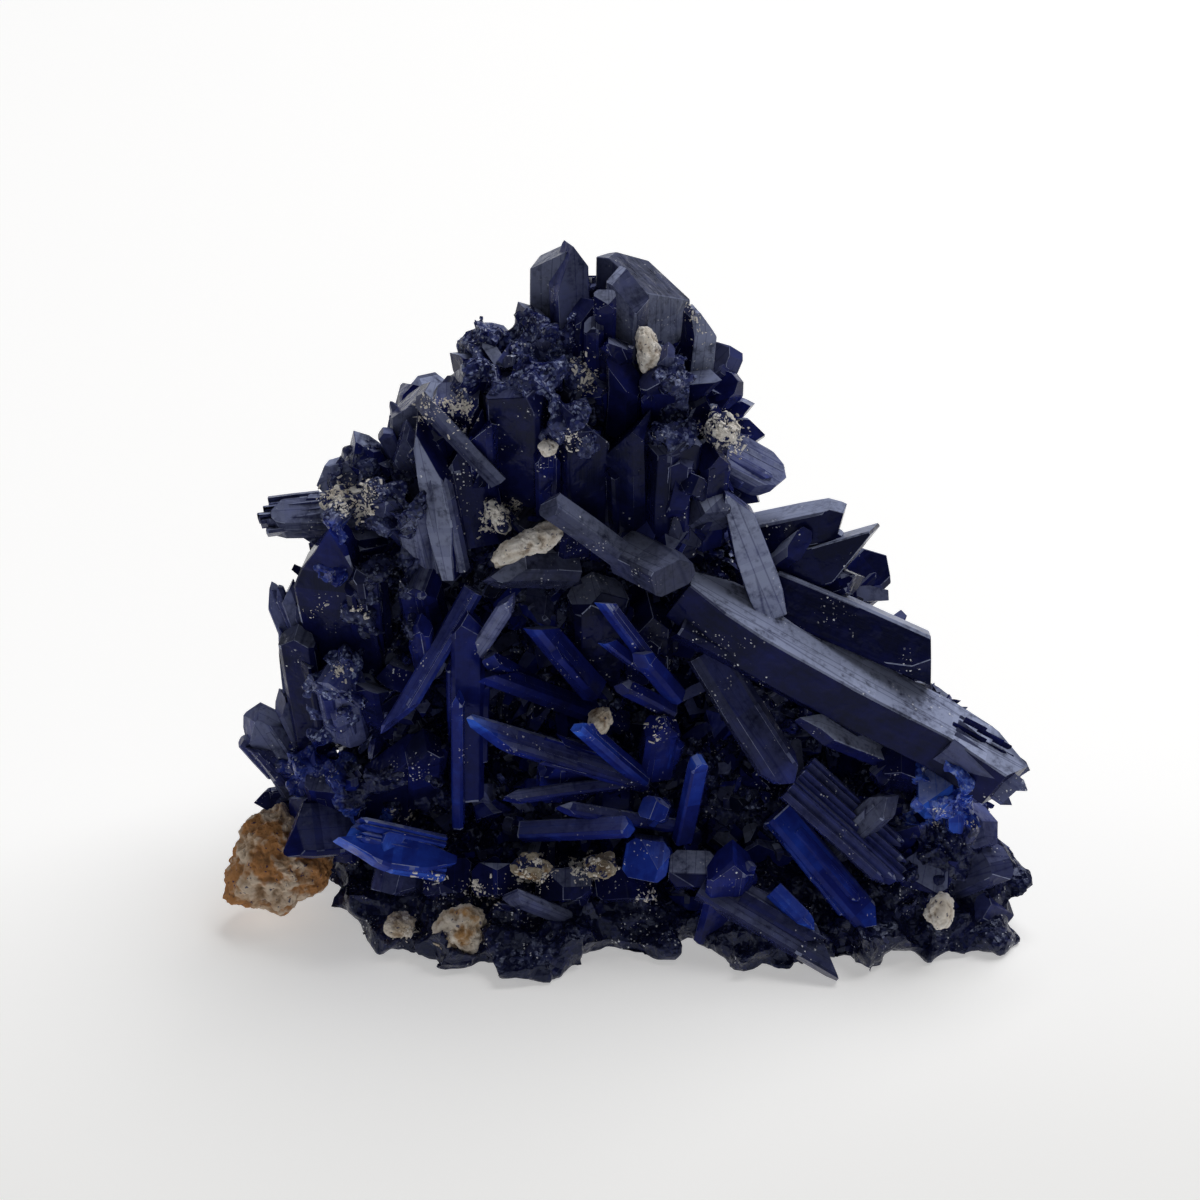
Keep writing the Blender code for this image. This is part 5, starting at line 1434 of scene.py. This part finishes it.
# Left, bottom, right and top of each patch on the display face, in layout steps, and a quarter of its crumbs.
CLAY_PATCHES = (
    (-27.5, 48.5, -22, 51.7, 90), (-17.6, 57, -12.6, 60, 70), (10.5, 55, 13.6, 58.6, 90),
    (-1.6, 60.5, -0.7, 64, 26), (-3, 54.8, -2.2, 57, 10), (5, 25, 6.5, 28, 10), (-9, 11.5, -5.5, 14.3, 40),
    (-4, 11.5, 0.5, 14, 40), (-20, 17.5, -18.8, 18.2, 8), (-17.5, 11, -16.5, 11.8, 8),
    (-13.8, 9.5, -11, 11.2, 24), (4, 9.5, 6, 10.5, 12), (-11.5, 46, -8, 49.5, 70),
    (-21.5, 5.8, -19.2, 7.7, 16), (9, 65.5, 10.2, 69, 12), (34, 17, 38, 19, 10),
    (-29, 38.5, -24, 40, 8), (-28, 31, -25, 34, 12),
)
CRUMB_SIZES = (0.1, 0.12, 0.16, 0.2, 0.28, 0.45)  # in steps


def clay_form():
    """A crumb: a rough lump with flat breaks."""
    select_only()
    bpy.ops.mesh.primitive_ico_sphere_add(subdivisions=1, radius=0.5)
    thing = bpy.context.active_object
    chip_off(thing, 7, (0.16, 0.38), 3)
    form = thing.data
    bpy.data.objects.remove(thing)
    return form


def clay_crumbs():
    luck = random.Random(37)
    skin = surface_of(pieces_with(bool))
    places = []
    for left, bottom, right, top, count in CLAY_PATCHES:
        clumps = [
            (luck.uniform(left, right), luck.uniform(bottom, top), luck.uniform(0.2, 0.7))
            for _ in range(3 + count // 12)
        ]
        for _ in range(count * 4):
            across, up, spread = luck.choice(clumps)
            across += luck.gauss(0, spread) * 1.3
            up += luck.gauss(0, spread)
            place, facing, _, _ = site(skin, across, up)
            if place is None or place.z < 0.001:
                continue
            size = luck.choice(CRUMB_SIZES) * luck.uniform(0.8, 1.2) * STEP
            leant = (facing + any_way(luck, 0.35)).normalized()
            wide = size * luck.uniform(1, 2.2)
            places.append((place, leant, wide, size, size * luck.uniform(0.25, 0.6), 0, 0))
    return places


clay = strewn("clay_crust", clay_form(), clay_crumbs())
clay.data.attributes.new("crust", "FLOAT", "POINT").data.foreach_set("value", [0.9] * len(clay.data.vertices))
clay.data.materials.append(CREAM)
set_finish(clay, "matrix_pale")
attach(clay, "root")

# Stand and light. A pale sheet, painted darker towards the viewer as a painted shadow, under broad soft light
# from above and behind, dim on the viewer's side, so that level faces gleam grey and upright ones stay dark.

select_only()
bpy.ops.mesh.primitive_plane_add(size=12, location=(0, 0, 0))
floor = bpy.context.active_object
floor.name = "floor"
# The sheet glows a little to stay evenly white; its colour and glow are painted darker towards the front, a
# painted shadow on the viewer's side.
sheet = Paint("white_sheet", Roughness=0.7, IOR=1.3, Emission_Strength=0.42)
_, back, _ = sheet.place().parts("SeparateXYZ")
behind = back.within(-0.045, 0.015)
floor.data.materials.append(sheet.feed(
    Base_Color=sheet.mix(behind, (0.67, 0.668, 0.66, 1), (0.8, 0.8, 0.8, 1)),
    Emission_Color=sheet.mix(behind, (0.84, 0.836, 0.828, 1), (1, 0.995, 0.985, 1)),
))


def softbox(name, place, size, power, aim=(0, 0, 0.02)):
    lamp = bpy.data.lights.new(name, "AREA")
    lamp.shape = "RECTANGLE"
    lamp.size, lamp.size_y = size
    lamp.energy = power
    holder = bpy.data.objects.new(name, lamp)
    bpy.context.scene.collection.objects.link(holder)
    holder.location = place
    holder.rotation_euler = (Vector(aim) - Vector(place)).to_track_quat("-Z", "Y").to_euler()


softbox("overhead", (0.25, 0.22, 0.72), (0.7, 0.5), 4.8)
softbox("left", (-0.85, 0.05, 0.35), (0.35, 0.4), 0.8)
softbox("front", (0.05, -0.5, 0.32), (0.4, 0.4), 0.25)


def studio():
    """Room light by direction: bright above and behind the piece, softer at its left, dim in front."""
    room = bpy.data.worlds.new("room")
    bpy.context.scene.world = room
    room.use_nodes = True
    tree = room.node_tree
    here = tree.nodes.new("ShaderNodeTexCoord").outputs["Generated"]
    total = None
    for aim, low, high, strength in (
        ((0, 0.8, 0.6), 0.15, 0.75, 1.1),
        ((-0.9, 0.1, 0.3), 0.3, 0.9, 0.35),
        ((0.9, 0.3, 0.3), 0.4, 0.95, 0.15),
    ):
        facing = tree.nodes.new("ShaderNodeVectorMath")
        facing.operation = "DOT_PRODUCT"
        tree.links.new(here, facing.inputs[0])
        facing.inputs[1].default_value = aim
        glow = tree.nodes.new("ShaderNodeMapRange")
        glow.interpolation_type = "SMOOTHSTEP"
        glow.inputs["From Min"].default_value = low
        glow.inputs["From Max"].default_value = high
        glow.inputs["To Max"].default_value = strength
        tree.links.new(facing.outputs["Value"], glow.inputs["Value"])
        adding = tree.nodes.new("ShaderNodeMath")
        tree.links.new(glow.outputs[0], adding.inputs[0])
        adding.inputs[1].default_value = 0.2
        if total:
            tree.links.new(total, adding.inputs[1])
        total = adding.outputs[0]
    tree.links.new(total, tree.nodes["Background"].inputs["Strength"])


studio()
bpy.context.scene.view_settings.view_transform = "Standard"

lens = bpy.data.cameras.new("camera")
lens.lens, lens.sensor_width = 150, 36
lens.clip_start = 0.001
camera = bpy.data.objects.new("camera", lens)
bpy.context.scene.collection.objects.link(camera)
camera.location = spot(0, 40, 15) + toward(0, 0, 1) * 0.375
camera.rotation_euler = (-toward(0, 0, 1)).to_track_quat("-Z", "Y").to_euler()
bpy.context.scene.camera = camera
